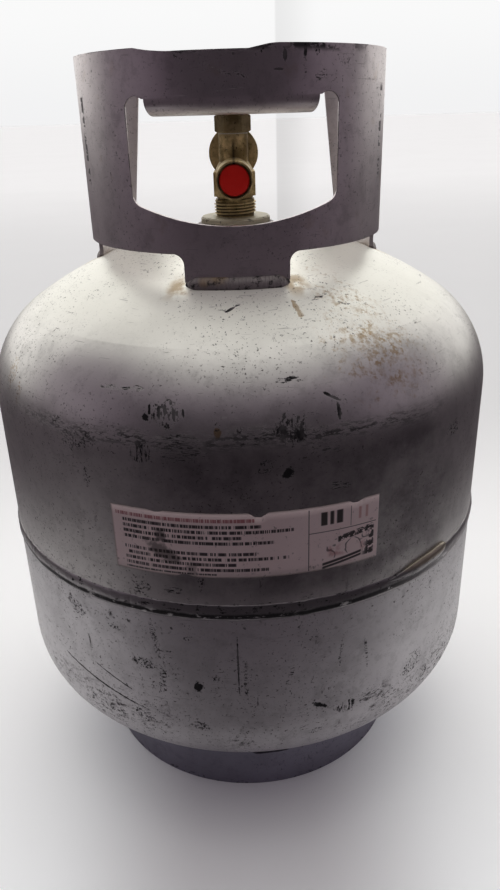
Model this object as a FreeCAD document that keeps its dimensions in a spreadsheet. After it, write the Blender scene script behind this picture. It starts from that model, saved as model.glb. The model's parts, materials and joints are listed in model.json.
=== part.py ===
"""Refillable steel gas cylinder: two welded shell halves, collar, foot ring and a brass hand valve.

Frame: +Z up, origin on the ground at the centre of the foot ring, the collar's hand window faces -Y.
Each piece is one PartDesign body. Lengths are millimetres and angles are degrees.
"""
import FreeCAD, Part
import math
import os
import re

import Sketcher

DOC = FreeCAD.newDocument("GasCylinder")

# ---------------------------------------------------------------- driving sizes
SIZES = {
    "Cutters": [
        ("overrun", 2.0),
    ],
    "Shell halves": [
        ("shell_radius", 160.0),
        ("shell_wall", 2.4),
        ("upper_equator", 272.5),
        ("upper_knuckle", 63.0),
        ("upper_crown", 236.4),
        ("lower_equator", 102.5),
        ("lower_knuckle", 50.0),
        ("lower_crown", 248.0),
        ("rim_height", 185.0),
        ("joggle_start", 179.5),
        ("joggle_end", 183.0),
        ("joggle_top", 197.0),
        ("joggle_gap", 0.1),
        ("seam_top", 190.0),
        ("seam_crown", 1.3),
    ],
    "Valve bung": [
        ("bung_radius", 21.7),
        ("bung_top", 372.1),
        ("bung_bottom", 351.0),
        ("bung_edge", 1.0),
        ("bung_weld", 5.0),
        ("bung_weld_rise", 4.0),
        ("weld_face_ratio", 1.4),
        ("thread_top_radius", 12.0),
        ("thread_taper", 0.03125),
        ("thread_clearance", 0.05),
    ],
    "Collar": [
        ("collar_radius", 89.8),
        ("collar_wall", 2.5),
        ("collar_top", 462.0),
        ("band_bottom", 363.4),
        ("leg_fillet", 6.0),
        ("front_leg_half_angle", 18.5),
        ("side_leg_start_angle", 95.0),
        ("window_half_width", 54.7),
        ("window_bottom", 377.8),
        ("window_bottom_arc", 140.0),
        ("window_corner", 7.0),
        ("ear_width", 9.2),
        ("ear_top", 440.2),
        ("ear_round", 5.7),
        ("grip_half_angle", 29.6),
        ("grip_centre", 439.2),
        ("grip_roll_radius", 8.3),
        ("grip_lip", 3.0),
        ("back_half_width_low", 72.0),
        ("back_half_width_high", 61.5),
        ("back_corner", 10.0),
        ("leg_weld", 4.6),
        ("rim_dip", 2.3),
        ("rim_dip_left", 48.0),
        ("rim_dip_floor_left", 26.4),
        ("rim_dip_floor_right", 8.8),
        ("rim_dip_step", 15.0),
        ("rim_dip_step_rise", 1.2),
        ("rim_dip_right", 25.0),
        ("rim_dip_entry_radius", 90.0),
        ("rim_dip_exit_radius", 40.0),
    ],
    "Foot ring": [
        ("foot_radius", 110.5),
        ("foot_wall", 2.5),
        ("foot_edge", 0.6),
        ("foot_weld", 4.0),
        ("foot_weld_drop", 2.2),
        ("foot_weld_face", 9.0),
        ("foot_notch_width", 28.6),
        ("foot_notch_centre", 12.4),
        ("foot_notch_bottom", 28.0),
        ("foot_notch_corner", 5.0),
        ("foot_stitch_angle", 84.0),
        ("foot_stitch_centre", 66.5),
    ],
    "Information label": [
        ("label_bottom", 207.5),
        ("label_top", 246.7),
        ("label_half_angle", 26.3),
        ("label_thickness", 0.15),
        ("label_gap", 0.02),
    ],
    "Valve body": [
        ("shank_bottom", 349.0),
        ("shank_top", 382.2),
        ("shank_edge", 1.0),
        ("thread_relief", 0.8),
        ("thread_relief_slope", 0.7),
        ("block_half_width", 12.8),
        ("block_corner", 5.5),
        ("block_bottom", 384.4),
        ("block_top", 399.0),
        ("block_edge", 1.5),
        ("column_foot_radius", 11.8),
        ("column_radius", 8.95),
        ("column_top", 419.7),
        ("column_flare", 5.0),
        ("inlet_radius", 4.6),
        ("inlet_cone_bottom", 398.0),
        ("seat_lip_radius", 3.6),
        ("seat_lip_width", 0.8),
        ("seat_lip_height", 0.8),
        ("seat_height", 402.0),
        ("chamber_radius", 6.0),
        ("bonnet_seat_height", 413.2),
        ("bonnet_thread_radius", 7.25),
    ],
    "Gas outlet": [
        ("outlet_height", 408.2),
        ("outlet_neck_radius", 9.4),
        ("outlet_boss_start", 12.0),
        ("outlet_boss_radius", 15.4),
        ("outlet_face", 37.0),
        ("outlet_thread_radius", 11.24),
        ("outlet_thread_length", 18.0),
        ("outlet_port_radius", 3.6),
        ("outlet_lead_in", 1.0),
        ("outlet_seat_radius", 8.2),
        ("outlet_seat_depth", 4.6),
        ("outlet_edge", 1.2),
    ],
    "Bonnet": [
        ("gasket_thickness", 0.6),
        ("bonnet_skirt_bottom", 413.7),
        ("bonnet_skirt_radius", 7.2),
        ("bonnet_core_radius", 7.0),
        ("bonnet_hex_flats", 19.0),
        ("bonnet_hex_top", 430.6),
        ("bonnet_top", 434.0),
        ("bonnet_nose_radius", 7.6),
        ("bonnet_shoulder", 423.3),
        ("bonnet_edge", 0.6),
        ("bonnet_flat_trim", 0.3),
        ("spindle_bore", 4.05),
    ],
    "Upper spindle": [
        ("spindle_radius", 4.0),
        ("spindle_flange_radius", 5.7),
        ("spindle_flange_bottom", 420.6),
        ("spindle_flange_top", 422.5),
        ("tang_bottom", 416.4),
        ("tang_thickness", 2.2),
        ("tang_half_width", 4.4),
        ("ring_groove_radius", 2.3),
        ("ring_groove_height", 2.0),
        ("ring_section", 0.84),
        ("lower_ring_height", 426.6),
        ("upper_ring_height", 430.4),
        ("square_bottom", 439.0),
        ("square_top", 449.6),
        ("square_width", 5.6),
        ("washer_thickness", 0.7),
        ("washer_bore", 4.1),
        ("tapping_radius", 1.6),
        ("tapping_depth", 9.0),
        ("tapping_point", 1.0),
    ],
    "Lower spindle": [
        ("holder_radius", 5.2),
        ("holder_top", 405.6),
        ("holder_rim", 403.0),
        ("seat_disc_radius", 4.75),
        ("seat_disc_thickness", 2.2),
        ("seat_gap", 0.02),
        ("plug_neck_radius", 3.2),
        ("plug_neck_bottom", 407.1),
        ("plug_neck_top", 413.1),
        ("plug_thread_radius", 5.9),
        ("plug_clearance", 0.05),
        ("plug_thread_bottom", 414.3),
        ("plug_top", 418.0),
        ("tang_slot_width", 2.4),
        ("tang_slot_bottom", 414.0),
    ],
    "Handwheel": [
        ("wheel_radius", 31.0),
        ("wheel_bottom", 438.4),
        ("wheel_top", 452.4),
        ("wheel_rim_slope", 2.0),
        ("wheel_rim_width", 7.5),
        ("wheel_web_bottom", 442.6),
        ("wheel_web_top", 446.4),
        ("wheel_hub_radius", 9.5),
        ("wheel_hub_bottom", 439.0),
        ("wheel_floor", 450.0),
        ("wheel_recess_radius", 6.4),
        ("wheel_square", 5.7),
        ("wheel_edge", 1.1),
        ("scallop_radius", 10.0),
        ("scallop_distance", 38.3),
        ("wheel_screw_radius", 1.55),
        ("wheel_screw_length", 8.0),
        ("wheel_screw_head_radius", 3.6),
        ("wheel_screw_head", 2.2),
        ("wheel_screw_head_side", 1.3),
        ("wheel_screw_head_flat", 2.2),
        ("wheel_screw_slot_floor", 1.0),
        ("wheel_screw_slot", 0.8),
        ("wheel_washer_radius", 5.6),
        ("wheel_washer_bore", 1.7),
        ("wheel_washer_thickness", 0.8),
    ],
    "Relief valve": [
        ("relief_height", 395.6),
        ("relief_boss_radius", 11.0),
        ("relief_face", 36.1),
        ("relief_edge", 0.6),
        ("relief_port_radius", 3.4),
        ("relief_seat_depth", 12.0),
        ("relief_bore", 6.5),
        ("relief_mouth_depth", 30.9),
        ("relief_mouth_radius", 9.9),
        ("relief_lip_radius", 3.6),
        ("relief_lip_width", 0.8),
        ("relief_lip_height", 0.7),
        ("poppet_radius", 6.2),
        ("poppet_back", 17.0),
        ("poppet_stem_radius", 2.4),
        ("poppet_stem_end", 20.4),
        ("relief_seal_radius", 5.0),
        ("relief_seal_end", 14.3),
        ("relief_seal_gap", 0.02),
        ("poppet_front", 12.8),
        ("spring_mean_radius", 4.3),
        ("spring_wire", 1.2),
        ("spring_turns", 5.0),
        ("spring_start", 17.1),
        ("spring_end", 26.5),
        ("adjuster_front", 26.6),
        ("adjuster_back", 30.2),
        ("adjuster_radius", 6.45),
        ("adjuster_hole", 2.6),
        ("cap_radius", 8.8),
        ("cap_back", 31.6),
        ("cap_front", 35.0),
        ("cap_edge", 0.9),
        ("cap_skirt_radius", 6.42),
        ("cap_skirt_bore", 5.2),
        ("cap_skirt_end", 30.4),
    ],
}

SHEET = DOC.addObject("Spreadsheet::Sheet", "Sizes")


def fill_sheet():
    """Write every size as a plain number with its name beside it and as its alias."""
    row = 1
    for group, entries in SIZES.items():
        SHEET.set("A%d" % row, group)
        row += 1
        for alias, number in entries:
            SHEET.set("A%d" % row, alias.replace("_", " "))
            SHEET.set("B%d" % row, str(number))
            SHEET.setAlias("B%d" % row, alias)
            row += 1
    DOC.recompute()


ALIASES = {alias for entries in SIZES.values() for alias, number in entries}


def cells(text):
    """Turn a formula written with bare size names into one that FreeCAD's expressions read."""
    return re.sub(r"[a-z_]+", lambda word: "Sizes." + word[0] if word[0] in ALIASES else word[0], str(text))


def value(text):
    return float(SHEET.evalExpression(cells(text)))


# ---------------------------------------------------------------- sketches
def new_body(label):
    body = DOC.addObject("PartDesign::Body", label)
    body.Label = label
    return body


def plane_sketch(body, role, turn=None):
    """A sketch on one of the body's origin planes, turned about its own upright axis if asked."""
    sketch = body.newObject("Sketcher::SketchObject", body.Label + "_sketch")
    plane = [feature for feature in body.Origin.OriginFeatures if feature.Role == role][0]
    sketch.AttachmentSupport = (plane, [""])
    sketch.MapMode = "FlatFace"
    if turn is not None:
        upright = FreeCAD.Rotation(FreeCAD.Vector(0, 1, 0), turn)
        sketch.AttachmentOffset = FreeCAD.Placement(FreeCAD.Vector(0, 0, 0), upright)
    return sketch


def half_section(body, bearing=90.0):
    """An upright sketch through the Z axis whose X axis points at a bearing, 0 = -Y and 90 = +X."""
    return plane_sketch(body, "XZ_Plane", bearing - 90.0)


def set_off(sketch, distance):
    """Move a sketch along its plane's normal."""
    sketch.AttachmentOffset = FreeCAD.Placement(FreeCAD.Vector(0, 0, value(distance)), FreeCAD.Rotation())
    sketch.setExpression("AttachmentOffset.Base.z", cells(distance))


def pin_point(sketch, geometry, position, x, y):
    """Tie a point of the sketch to two formulas."""
    for kind, text in (("DistanceX", x), ("DistanceY", y)):
        index = sketch.addConstraint(Sketcher.Constraint(kind, -1, 1, geometry, position, value(text)))
        sketch.setExpression("Constraints[%d]" % index, cells(text))


def arc_between(start, end, radius, centre_on_left):
    """The short arc from start to end, as Part geometry that always runs anticlockwise."""
    chord = end - start
    half = chord.Length / 2.0
    height = math.sqrt(max(radius * radius - half * half, 0.0))
    normal = FreeCAD.Vector(-chord.y, chord.x, 0).normalize()
    side = 1.0 if centre_on_left else -1.0
    centre = start + chord * 0.5 + normal * (side * height)
    first, last = (start, end) if centre_on_left else (end, start)
    angles = [math.atan2(point.y - centre.y, point.x - centre.x) for point in (first, last)]
    if angles[1] < angles[0]:
        angles[1] += 2.0 * math.pi
    circle = Part.Circle(centre, FreeCAD.Vector(0, 0, 1), radius)
    return Part.ArcOfCircle(circle, angles[0], angles[1])


def outline(sketch, corners, arcs=None):
    """Draw a closed outline. arcs maps an edge's number to (radius, "left" or "right" of the centre)."""
    arcs = arcs or {}
    points = [FreeCAD.Vector(value(x), value(y), 0) for x, y in corners]
    ends = []
    for number, start in enumerate(points):
        end = points[(number + 1) % len(points)]
        if number in arcs:
            radius, side = arcs[number]
            on_left = side == "left"
            geometry = sketch.addGeometry(arc_between(start, end, value(radius), on_left), False)
            index = sketch.addConstraint(Sketcher.Constraint("Radius", geometry, value(radius)))
            sketch.setExpression("Constraints[%d]" % index, cells(radius))
            ends.append((geometry, 1, 2) if on_left else (geometry, 2, 1))
        else:
            geometry = sketch.addGeometry(Part.LineSegment(start, end), False)
            ends.append((geometry, 1, 2))
    for number, corner in enumerate(corners):
        before, after = ends[number - 1], ends[number]
        sketch.addConstraint(Sketcher.Constraint("Coincident", before[0], before[2], after[0], after[1]))
        pin_point(sketch, after[0], after[1], corner[0], corner[1])


def circle(sketch, x, y, radius):
    centre = FreeCAD.Vector(value(x), value(y), 0)
    geometry = sketch.addGeometry(Part.Circle(centre, FreeCAD.Vector(0, 0, 1), value(radius)), False)
    index = sketch.addConstraint(Sketcher.Constraint("Radius", geometry, value(radius)))
    sketch.setExpression("Constraints[%d]" % index, cells(radius))
    pin_point(sketch, geometry, 3, x, y)


def box_corners(left, bottom, right, top):
    return [(left, bottom), (right, bottom), (right, top), (left, top)]


# ---------------------------------------------------------------- features
def bind(feature, name, text):
    setattr(feature, name, value(text))
    feature.setExpression(name, cells(text))


def revolve(body, sketch, cut=False, angle="360", axis="V_Axis"):
    """Turn a section about an axis of its sketch, evenly to both sides when it isn't a full turn."""
    kind = "PartDesign::Groove" if cut else "PartDesign::Revolution"
    feature = body.newObject(kind, body.Label + "_turn")
    feature.Profile = sketch
    feature.ReferenceAxis = (sketch, [axis])
    feature.Midplane = angle != "360"
    bind(feature, "Angle", angle)
    DOC.recompute()
    return feature


def extrude(body, sketch, length, cut=False, reverse=False, both=False):
    kind = "PartDesign::Pocket" if cut else "PartDesign::Pad"
    feature = body.newObject(kind, body.Label + "_extrusion")
    feature.Profile = sketch
    bind(feature, "Length", length)
    feature.Reversed = reverse
    feature.Midplane = both
    DOC.recompute()
    return feature


def repeat_round(body, feature, count):
    pattern = body.newObject("PartDesign::PolarPattern", body.Label + "_pattern")
    pattern.Originals = [feature]
    pattern.Axis = (body.Origin.OriginFeatures[2], [""])
    pattern.Angle = 360.0
    pattern.Occurrences = count
    body.Tip = pattern
    DOC.recompute()
    return pattern


def edges_where(body, wanted):
    """Names of the tip's edges whose middle point passes the test."""
    names = []
    for number, edge in enumerate(body.Tip.Shape.Edges, start=1):
        middle = edge.valueAt(edge.getParameterByLength(edge.Length / 2.0))
        if wanted(edge, middle):
            names.append("Edge%d" % number)
    return names


def round_edges(body, wanted, size, chamfer=False):
    kind = "PartDesign::Chamfer" if chamfer else "PartDesign::Fillet"
    names = edges_where(body, wanted)
    if not names:
        raise RuntimeError("no edge to round on " + body.Label)
    base = body.Tip
    feature = body.newObject(kind, body.Label + "_edges")
    feature.Base = (base, names)
    bind(feature, "Size" if chamfer else "Radius", size)
    DOC.recompute()
    return feature


def turned(label, corners, arcs=None):
    """A piece made on a lathe: one closed section turned about the Z axis."""
    body = new_body(label)
    sketch = half_section(body)
    outline(sketch, corners, arcs)
    revolve(body, sketch)
    return body


def radius_of(point):
    return math.hypot(point.x, point.y)


def bearing_of(point):
    """Degrees from -Y, growing towards +X."""
    return math.degrees(math.atan2(point.x, -point.y))


def close_to(number, text, slack=0.05):
    return abs(number - value(text)) < slack


# ---------------------------------------------------------------- dished ends
def rise(radius, knuckle, crown):
    """Height between the equator and the crown's centre."""
    return "sqrt((%s - %s)^2 - (%s - %s)^2)" % (crown, knuckle, radius, knuckle)


UPPER_RISE = rise("shell_radius", "upper_knuckle", "upper_crown")
LOWER_RISE = rise("shell_radius", "lower_knuckle", "lower_crown")
UPPER_CENTRE = "(upper_equator - %s)" % UPPER_RISE
LOWER_CENTRE = "(lower_equator + %s)" % LOWER_RISE


def dome_top(radius, skin="0"):
    """Height of the upper dome at a radius, on its outside or a skin's thickness further in."""
    return "%s + sqrt((upper_crown - %s)^2 - (%s)^2)" % (UPPER_CENTRE, skin, radius)


def dome_bottom(radius, skin="0"):
    return "%s - sqrt((lower_crown - %s)^2 - (%s)^2)" % (LOWER_CENTRE, skin, radius)


def upper_joint(skin):
    """Where the knuckle's arc meets the crown's arc."""
    share = "(upper_crown - %s) / (upper_crown - upper_knuckle)" % skin
    across = "(shell_radius - upper_knuckle) * %s" % share
    return (across, "%s + %s * %s" % (UPPER_CENTRE, UPPER_RISE, share))


def lower_joint(skin):
    share = "(lower_crown - %s) / (lower_crown - lower_knuckle)" % skin
    across = "(shell_radius - lower_knuckle) * %s" % share
    return (across, "%s - %s * %s" % (LOWER_CENTRE, LOWER_RISE, share))


def upper_shell():
    hole = "bung_radius"
    corners = [
        ("shell_radius", "rim_height"),
        ("shell_radius", "upper_equator"),
        upper_joint("0"),
        (hole, dome_top(hole)),
        (hole, dome_top(hole, "shell_wall")),
        upper_joint("shell_wall"),
        ("shell_radius - shell_wall", "upper_equator"),
        ("shell_radius - shell_wall", "rim_height"),
    ]
    arcs = {
        1: ("upper_knuckle", "left"),
        2: ("upper_crown", "left"),
        4: ("upper_crown - shell_wall", "right"),
        5: ("upper_knuckle - shell_wall", "right"),
    }
    return turned("upper_shell", corners, arcs)


def lower_shell():
    """The lower half steps in at its rim, so that the rim slides inside the upper half."""
    rim = "shell_radius - shell_wall - joggle_gap"
    corners = [
        ("0", dome_bottom("0")),
        lower_joint("0"),
        ("shell_radius", "lower_equator"),
        ("shell_radius", "joggle_start"),
        (rim, "joggle_end"),
        (rim, "joggle_top"),
        (rim + " - shell_wall", "joggle_top"),
        (rim + " - shell_wall", "joggle_end"),
        ("shell_radius - shell_wall", "joggle_start"),
        ("shell_radius - shell_wall", "lower_equator"),
        lower_joint("shell_wall"),
        ("0", dome_bottom("0", "shell_wall")),
    ]
    arcs = {
        0: ("lower_crown", "left"),
        1: ("lower_knuckle", "left"),
        9: ("lower_knuckle - shell_wall", "right"),
        10: ("lower_crown - shell_wall", "right"),
    }
    return turned("lower_shell", corners, arcs)


def seam_weld():
    """The girth weld fills the groove beside the joggle and crowns over the upper half's rim."""
    corners = [
        ("shell_radius", "joggle_start"),
        ("shell_radius + seam_crown", "(joggle_start + seam_top) / 2"),
        ("shell_radius", "seam_top"),
        ("shell_radius", "rim_height"),
        ("shell_radius - shell_wall", "rim_height"),
        ("shell_radius - shell_wall - joggle_gap", "joggle_end"),
    ]
    bead = "(((seam_top - joggle_start) / 2)^2 + seam_crown^2) / (2 * seam_crown)"
    return turned("seam_weld", corners, {0: (bead, "left"), 1: (bead, "left")})


def thread_radius(height, extra="0"):
    """Radius of the tapered pipe thread, which narrows downwards."""
    return "thread_top_radius - (shank_top - %s) * thread_taper + %s" % (height, extra)


def valve_bung():
    corners = [
        (thread_radius("bung_bottom", "thread_clearance"), "bung_bottom"),
        ("bung_radius", "bung_bottom"),
        ("bung_radius", "bung_top - bung_edge"),
        ("bung_radius - bung_edge", "bung_top"),
        (thread_radius("bung_top", "thread_clearance"), "bung_top"),
    ]
    return turned("valve_bung", corners)


def bung_weld():
    outer = "bung_radius + bung_weld"
    corners = [
        ("bung_radius", dome_top("bung_radius")),
        (outer, dome_top(outer)),
        ("bung_radius", dome_top("bung_radius") + " + bung_weld_rise"),
    ]
    arcs = {0: ("upper_crown", "right"), 1: ("bung_weld * weld_face_ratio", "left")}
    return turned("bung_weld", corners, arcs)


# ---------------------------------------------------------------- collar
def leg_bottom():
    return dome_top("collar_radius - collar_wall")


def cut_leg_gap(body, side):
    """Free the band from the dome between the front leg and one side leg."""
    middle = value("(front_leg_half_angle + side_leg_start_angle) / 2")
    sketch = half_section(body, side * middle)
    inner, outer = "collar_radius - collar_wall - overrun", "collar_radius + overrun"
    outline(sketch, box_corners(inner, leg_bottom() + " - overrun", outer, "band_bottom"))
    revolve(body, sketch, cut=True, angle="side_leg_start_angle - front_leg_half_angle")


def cut_window(body):
    """Hand window: a shallow arc below, straight sides, and an ear at each end of the grip."""
    half = "window_half_width"
    centre = "window_bottom + window_bottom_arc"
    reach = "sqrt((window_bottom_arc - window_corner)^2 - (%s - window_corner)^2)" % half
    share = "window_bottom_arc / (window_bottom_arc - window_corner)"
    arc_end = ("(%s - window_corner) * %s" % (half, share), "%s - %s * %s" % (centre, reach, share))
    side_low = "%s - %s" % (centre, reach)
    side_high = "ear_top - ear_width / 2"
    ear_inner = "(%s - ear_width)" % half
    right = [arc_end, (half, side_low), (half, side_high), (ear_inner, "grip_centre")]
    left = [("-(%s)" % x, z) for x, z in reversed(right)]
    arcs = {
        0: ("window_corner", "left"),
        2: ("ear_round", "left"),
        4: ("ear_round", "left"),
        6: ("window_corner", "left"),
        7: ("window_bottom_arc", "left"),
    }
    sketch = plane_sketch(body, "XZ_Plane")
    outline(sketch, right + left, arcs)
    extrude(body, sketch, "collar_radius * 2", cut=True, reverse=True)


def cut_back_opening(body):
    """The collar is open behind, so that a hose reaches the valve; its top corners are rounded."""
    low = leg_bottom() + " - overrun"
    high = "collar_top + overrun"
    right = [
        ("back_half_width_low", low),
        ("back_half_width_high", "collar_top - back_corner"),
        ("(back_half_width_high + back_corner)", "collar_top"),
        ("(back_half_width_high + back_corner)", high),
    ]
    left = [("-" + x, z) for x, z in reversed(right)]
    sketch = plane_sketch(body, "XZ_Plane")
    outline(sketch, right + left, {1: ("back_corner", "right"), 5: ("back_corner", "right")})
    extrude(body, sketch, "collar_radius * 2", cut=True)


def dent_rim(body):
    """A long shallow knock in the top edge, left of the middle, that ends in a short step."""
    floor = "collar_top - rim_dip"
    corners = [
        ("-rim_dip_left", "collar_top"),
        ("-rim_dip_floor_left", floor),
        ("rim_dip_floor_right", floor),
        ("rim_dip_step", floor + " + rim_dip_step_rise"),
        ("rim_dip_right", "collar_top"),
        ("rim_dip_right", "collar_top + overrun"),
        ("-rim_dip_left", "collar_top + overrun"),
    ]
    arcs = {0: ("rim_dip_entry_radius", "left"), 3: ("rim_dip_exit_radius", "right")}
    sketch = plane_sketch(body, "XZ_Plane")
    outline(sketch, corners, arcs)
    extrude(body, sketch, "collar_radius * 2", cut=True, reverse=True)


def roll_grip(body):
    """The window's top edge is rolled inwards into a smooth carrying grip."""
    outside = "collar_radius"
    inside = "collar_radius - collar_wall"
    centre = "collar_radius - grip_roll_radius"
    lip = "collar_radius - grip_roll_radius * 2"
    corners = [
        (inside, "grip_centre + 1"),
        (inside, "grip_centre"),
        (centre, "grip_centre - grip_roll_radius + collar_wall"),
        (lip + " + collar_wall", "grip_centre"),
        (lip + " + collar_wall", "grip_centre + grip_lip"),
        (lip, "grip_centre + grip_lip"),
        (lip, "grip_centre"),
        (centre, "grip_centre - grip_roll_radius"),
        (outside, "grip_centre"),
        (outside, "grip_centre + 1"),
    ]
    inner_roll = "grip_roll_radius - collar_wall"
    arcs = {
        1: (inner_roll, "right"),
        2: (inner_roll, "right"),
        6: ("grip_roll_radius", "left"),
        7: ("grip_roll_radius", "left"),
    }
    sketch = half_section(body, 0.0)
    outline(sketch, corners, arcs)
    revolve(body, sketch, angle="grip_half_angle * 2")


def collar():
    body = new_body("collar")
    sketch = half_section(body)
    inside = "collar_radius - collar_wall"
    outline(sketch, box_corners(inside, leg_bottom(), "collar_radius", "collar_top"))
    revolve(body, sketch)
    for side in (1, -1):
        cut_leg_gap(body, side)
    cut_back_opening(body)
    cut_window(body)
    dent_rim(body)
    roll_grip(body)

    def leg_corner(edge, middle):
        bearing = abs(bearing_of(middle))
        at_front = close_to(bearing, "front_leg_half_angle", 1.0)
        at_side = close_to(bearing, "side_leg_start_angle", 1.0)
        short = edge.Length < 2 * value("collar_wall")
        return short and (at_front or at_side) and close_to(middle.z, "band_bottom")

    round_edges(body, leg_corner, "leg_fillet")
    return body


def arc_piece(label, corners, arcs, bearing, angle):
    """Part of a turned ring, centred on a bearing."""
    body = new_body(label)
    sketch = half_section(body, bearing)
    outline(sketch, corners, arcs)
    revolve(body, sketch, angle=angle)
    return body


def collar_welds():
    """One fillet weld along the outside of each leg's foot."""
    outer = "collar_radius + leg_weld"
    corners = [
        ("collar_radius", dome_top("collar_radius")),
        (outer, dome_top(outer)),
        ("collar_radius", dome_top("collar_radius") + " + leg_weld"),
    ]
    arcs = {0: ("upper_crown", "right"), 1: ("leg_weld * weld_face_ratio", "left")}
    back_edge = math.degrees(math.asin(value("back_half_width_low / collar_radius")))
    side_middle = (180.0 - back_edge + value("side_leg_start_angle")) / 2.0
    side_angle = str(round(180.0 - back_edge - value("side_leg_start_angle"), 3))
    places = {
        "collar_weld_front": (0.0, "front_leg_half_angle * 2"),
        "collar_weld_left": (-side_middle, side_angle),
        "collar_weld_right": (side_middle, side_angle),
    }
    return [arc_piece(name, corners, arcs, bearing, angle) for name, (bearing, angle) in places.items()]


# ---------------------------------------------------------------- foot ring
def foot_ring():
    body = new_body("foot_ring")
    sketch = half_section(body)
    inside = "foot_radius - foot_wall"
    top = dome_bottom(inside)
    outline(sketch, box_corners(inside, "0", "foot_radius", top))
    revolve(body, sketch)
    notch = plane_sketch(body, "XZ_Plane")
    left = "foot_notch_centre - foot_notch_width / 2"
    right = "foot_notch_centre + foot_notch_width / 2"
    low = "foot_notch_bottom"
    curve = "foot_notch_corner"
    corners = [
        (left + " + " + curve, low),
        (right + " - " + curve, low),
        (right, low + " + " + curve),
        (right, top + " + overrun"),
        (left, top + " + overrun"),
        (left, low + " + " + curve),
    ]
    outline(notch, corners, {1: (curve, "left"), 5: (curve, "left")})
    cut = extrude(body, notch, "foot_radius * 2", cut=True, reverse=True)
    repeat_round(body, cut, 3)
    round_edges(body, lambda edge, middle: close_to(middle.z, "0"), "foot_edge")
    return body


def foot_ring_welds():
    """Three long stitches join the foot ring to the lower dome, between its notches."""
    outer = "foot_radius + foot_weld"
    base = dome_bottom("foot_radius - foot_wall")
    corners = [
        ("foot_radius", base + " - foot_weld_drop"),
        (outer, dome_bottom(outer)),
        ("foot_radius", dome_bottom("foot_radius")),
    ]
    arcs = {0: ("foot_weld_face", "left"), 1: ("lower_crown", "right")}
    welds = []
    for number, turn in enumerate((0.0, 120.0, 240.0), start=1):
        bearing = value("foot_stitch_centre") + turn
        name = "foot_ring_weld_%d" % number
        welds.append(arc_piece(name, corners, arcs, bearing, "foot_stitch_angle"))
    return welds


def info_label():
    inner = "shell_radius + label_gap"
    corners = box_corners(inner, "label_bottom", inner + " + label_thickness", "label_top")
    return arc_piece("info_label", corners, None, 0.0, "label_half_angle * 2")


# ---------------------------------------------------------------- brass valve
def groove_about_line(body, sketch, height):
    """Cut a section turned about a level line of the sketch."""
    start = FreeCAD.Vector(0, value(height), 0)
    end = FreeCAD.Vector(value("column_radius"), value(height), 0)
    geometry = sketch.addGeometry(Part.LineSegment(start, end), True)
    pin_point(sketch, geometry, 1, "0", height)
    pin_point(sketch, geometry, 2, "column_radius", height)
    revolve(body, sketch, cut=True, axis="Axis0")


def valve_body():
    """Forged body: threaded shank, square block, column, outlet boss behind and relief boss in front."""
    body = new_body("valve_body")
    sketch = half_section(body)
    root = thread_radius("shank_top")
    corners = [
        ("0", "shank_bottom"),
        (thread_radius("shank_bottom") + " - shank_edge", "shank_bottom"),
        (thread_radius("shank_bottom + shank_edge"), "shank_bottom + shank_edge"),
        (root, "shank_top"),
        (root + " - thread_relief", "shank_top + thread_relief_slope"),
        (root + " - thread_relief", "block_bottom"),
        ("column_foot_radius", "block_bottom"),
        ("column_foot_radius", "block_top"),
        ("column_radius", "block_top + column_flare"),
        ("column_radius", "column_top"),
        ("0", "column_top"),
    ]
    outline(sketch, corners)
    revolve(body, sketch)

    block = plane_sketch(body, "XY_Plane")
    set_off(block, "block_bottom")
    half, cornered = "block_half_width", "block_half_width - block_corner"
    corner = [(half, cornered), (cornered, half)]
    octagon = []
    for across, up in ((1, 1), (-1, 1), (-1, -1), (1, -1)):
        points = corner if across == up else reversed(corner)
        octagon += [("%d * (%s)" % (across, x), "%d * (%s)" % (up, y)) for x, y in points]
    outline(block, octagon)
    extrude(body, block, "block_top - block_bottom")

    def block_rim(edge, middle):
        return close_to(middle.z, "block_top") and edge.Curve.TypeId == "Part::GeomLine"

    round_edges(body, block_rim, "block_edge")
    bosses = [
        ("outlet_height", "outlet_neck_radius", "(outlet_boss_start + outlet_face) / 2", True),
        ("relief_height", "relief_boss_radius", "relief_face", False),
    ]
    for height, radius, length, behind in bosses:
        boss = plane_sketch(body, "XZ_Plane")
        circle(boss, "0", height, radius)
        extrude(body, boss, length, reverse=behind)
    head = plane_sketch(body, "XZ_Plane")
    set_off(head, "-outlet_boss_start")
    circle(head, "0", "outlet_height", "outlet_boss_radius")
    extrude(body, head, "outlet_face - outlet_boss_start", reverse=True)

    def boss_rim(edge, middle):
        flat = close_to(middle.y, "outlet_face") or close_to(middle.y, "outlet_boss_start")
        return flat and close_to(edge.Length, "2 * pi * outlet_boss_radius")

    round_edges(body, boss_rim, "outlet_edge")
    round_edges(body, lambda edge, middle: close_to(middle.y, "-relief_face"), "relief_edge")
    cut_central_bore(body)
    cut_outlet(body)
    cut_relief(body)
    return body


def cut_central_bore(body):
    """Inlet passage, raised seat lip, chamber for the lower spindle and bore for the bonnet."""
    floor = "seat_height - seat_lip_height"
    corners = [
        ("0", "shank_bottom - overrun"),
        ("inlet_radius", "shank_bottom - overrun"),
        ("inlet_radius", "inlet_cone_bottom"),
        ("seat_lip_radius", "inlet_cone_bottom + inlet_radius - seat_lip_radius"),
        ("seat_lip_radius", "seat_height"),
        ("seat_lip_radius + seat_lip_width", "seat_height"),
        ("seat_lip_radius + seat_lip_width", floor),
        ("chamber_radius", floor),
        ("chamber_radius", "bonnet_seat_height"),
        ("bonnet_thread_radius", "bonnet_seat_height"),
        ("bonnet_thread_radius", "column_top + overrun"),
        ("0", "column_top + overrun"),
    ]
    sketch = half_section(body)
    outline(sketch, corners)
    revolve(body, sketch, cut=True)


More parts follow.
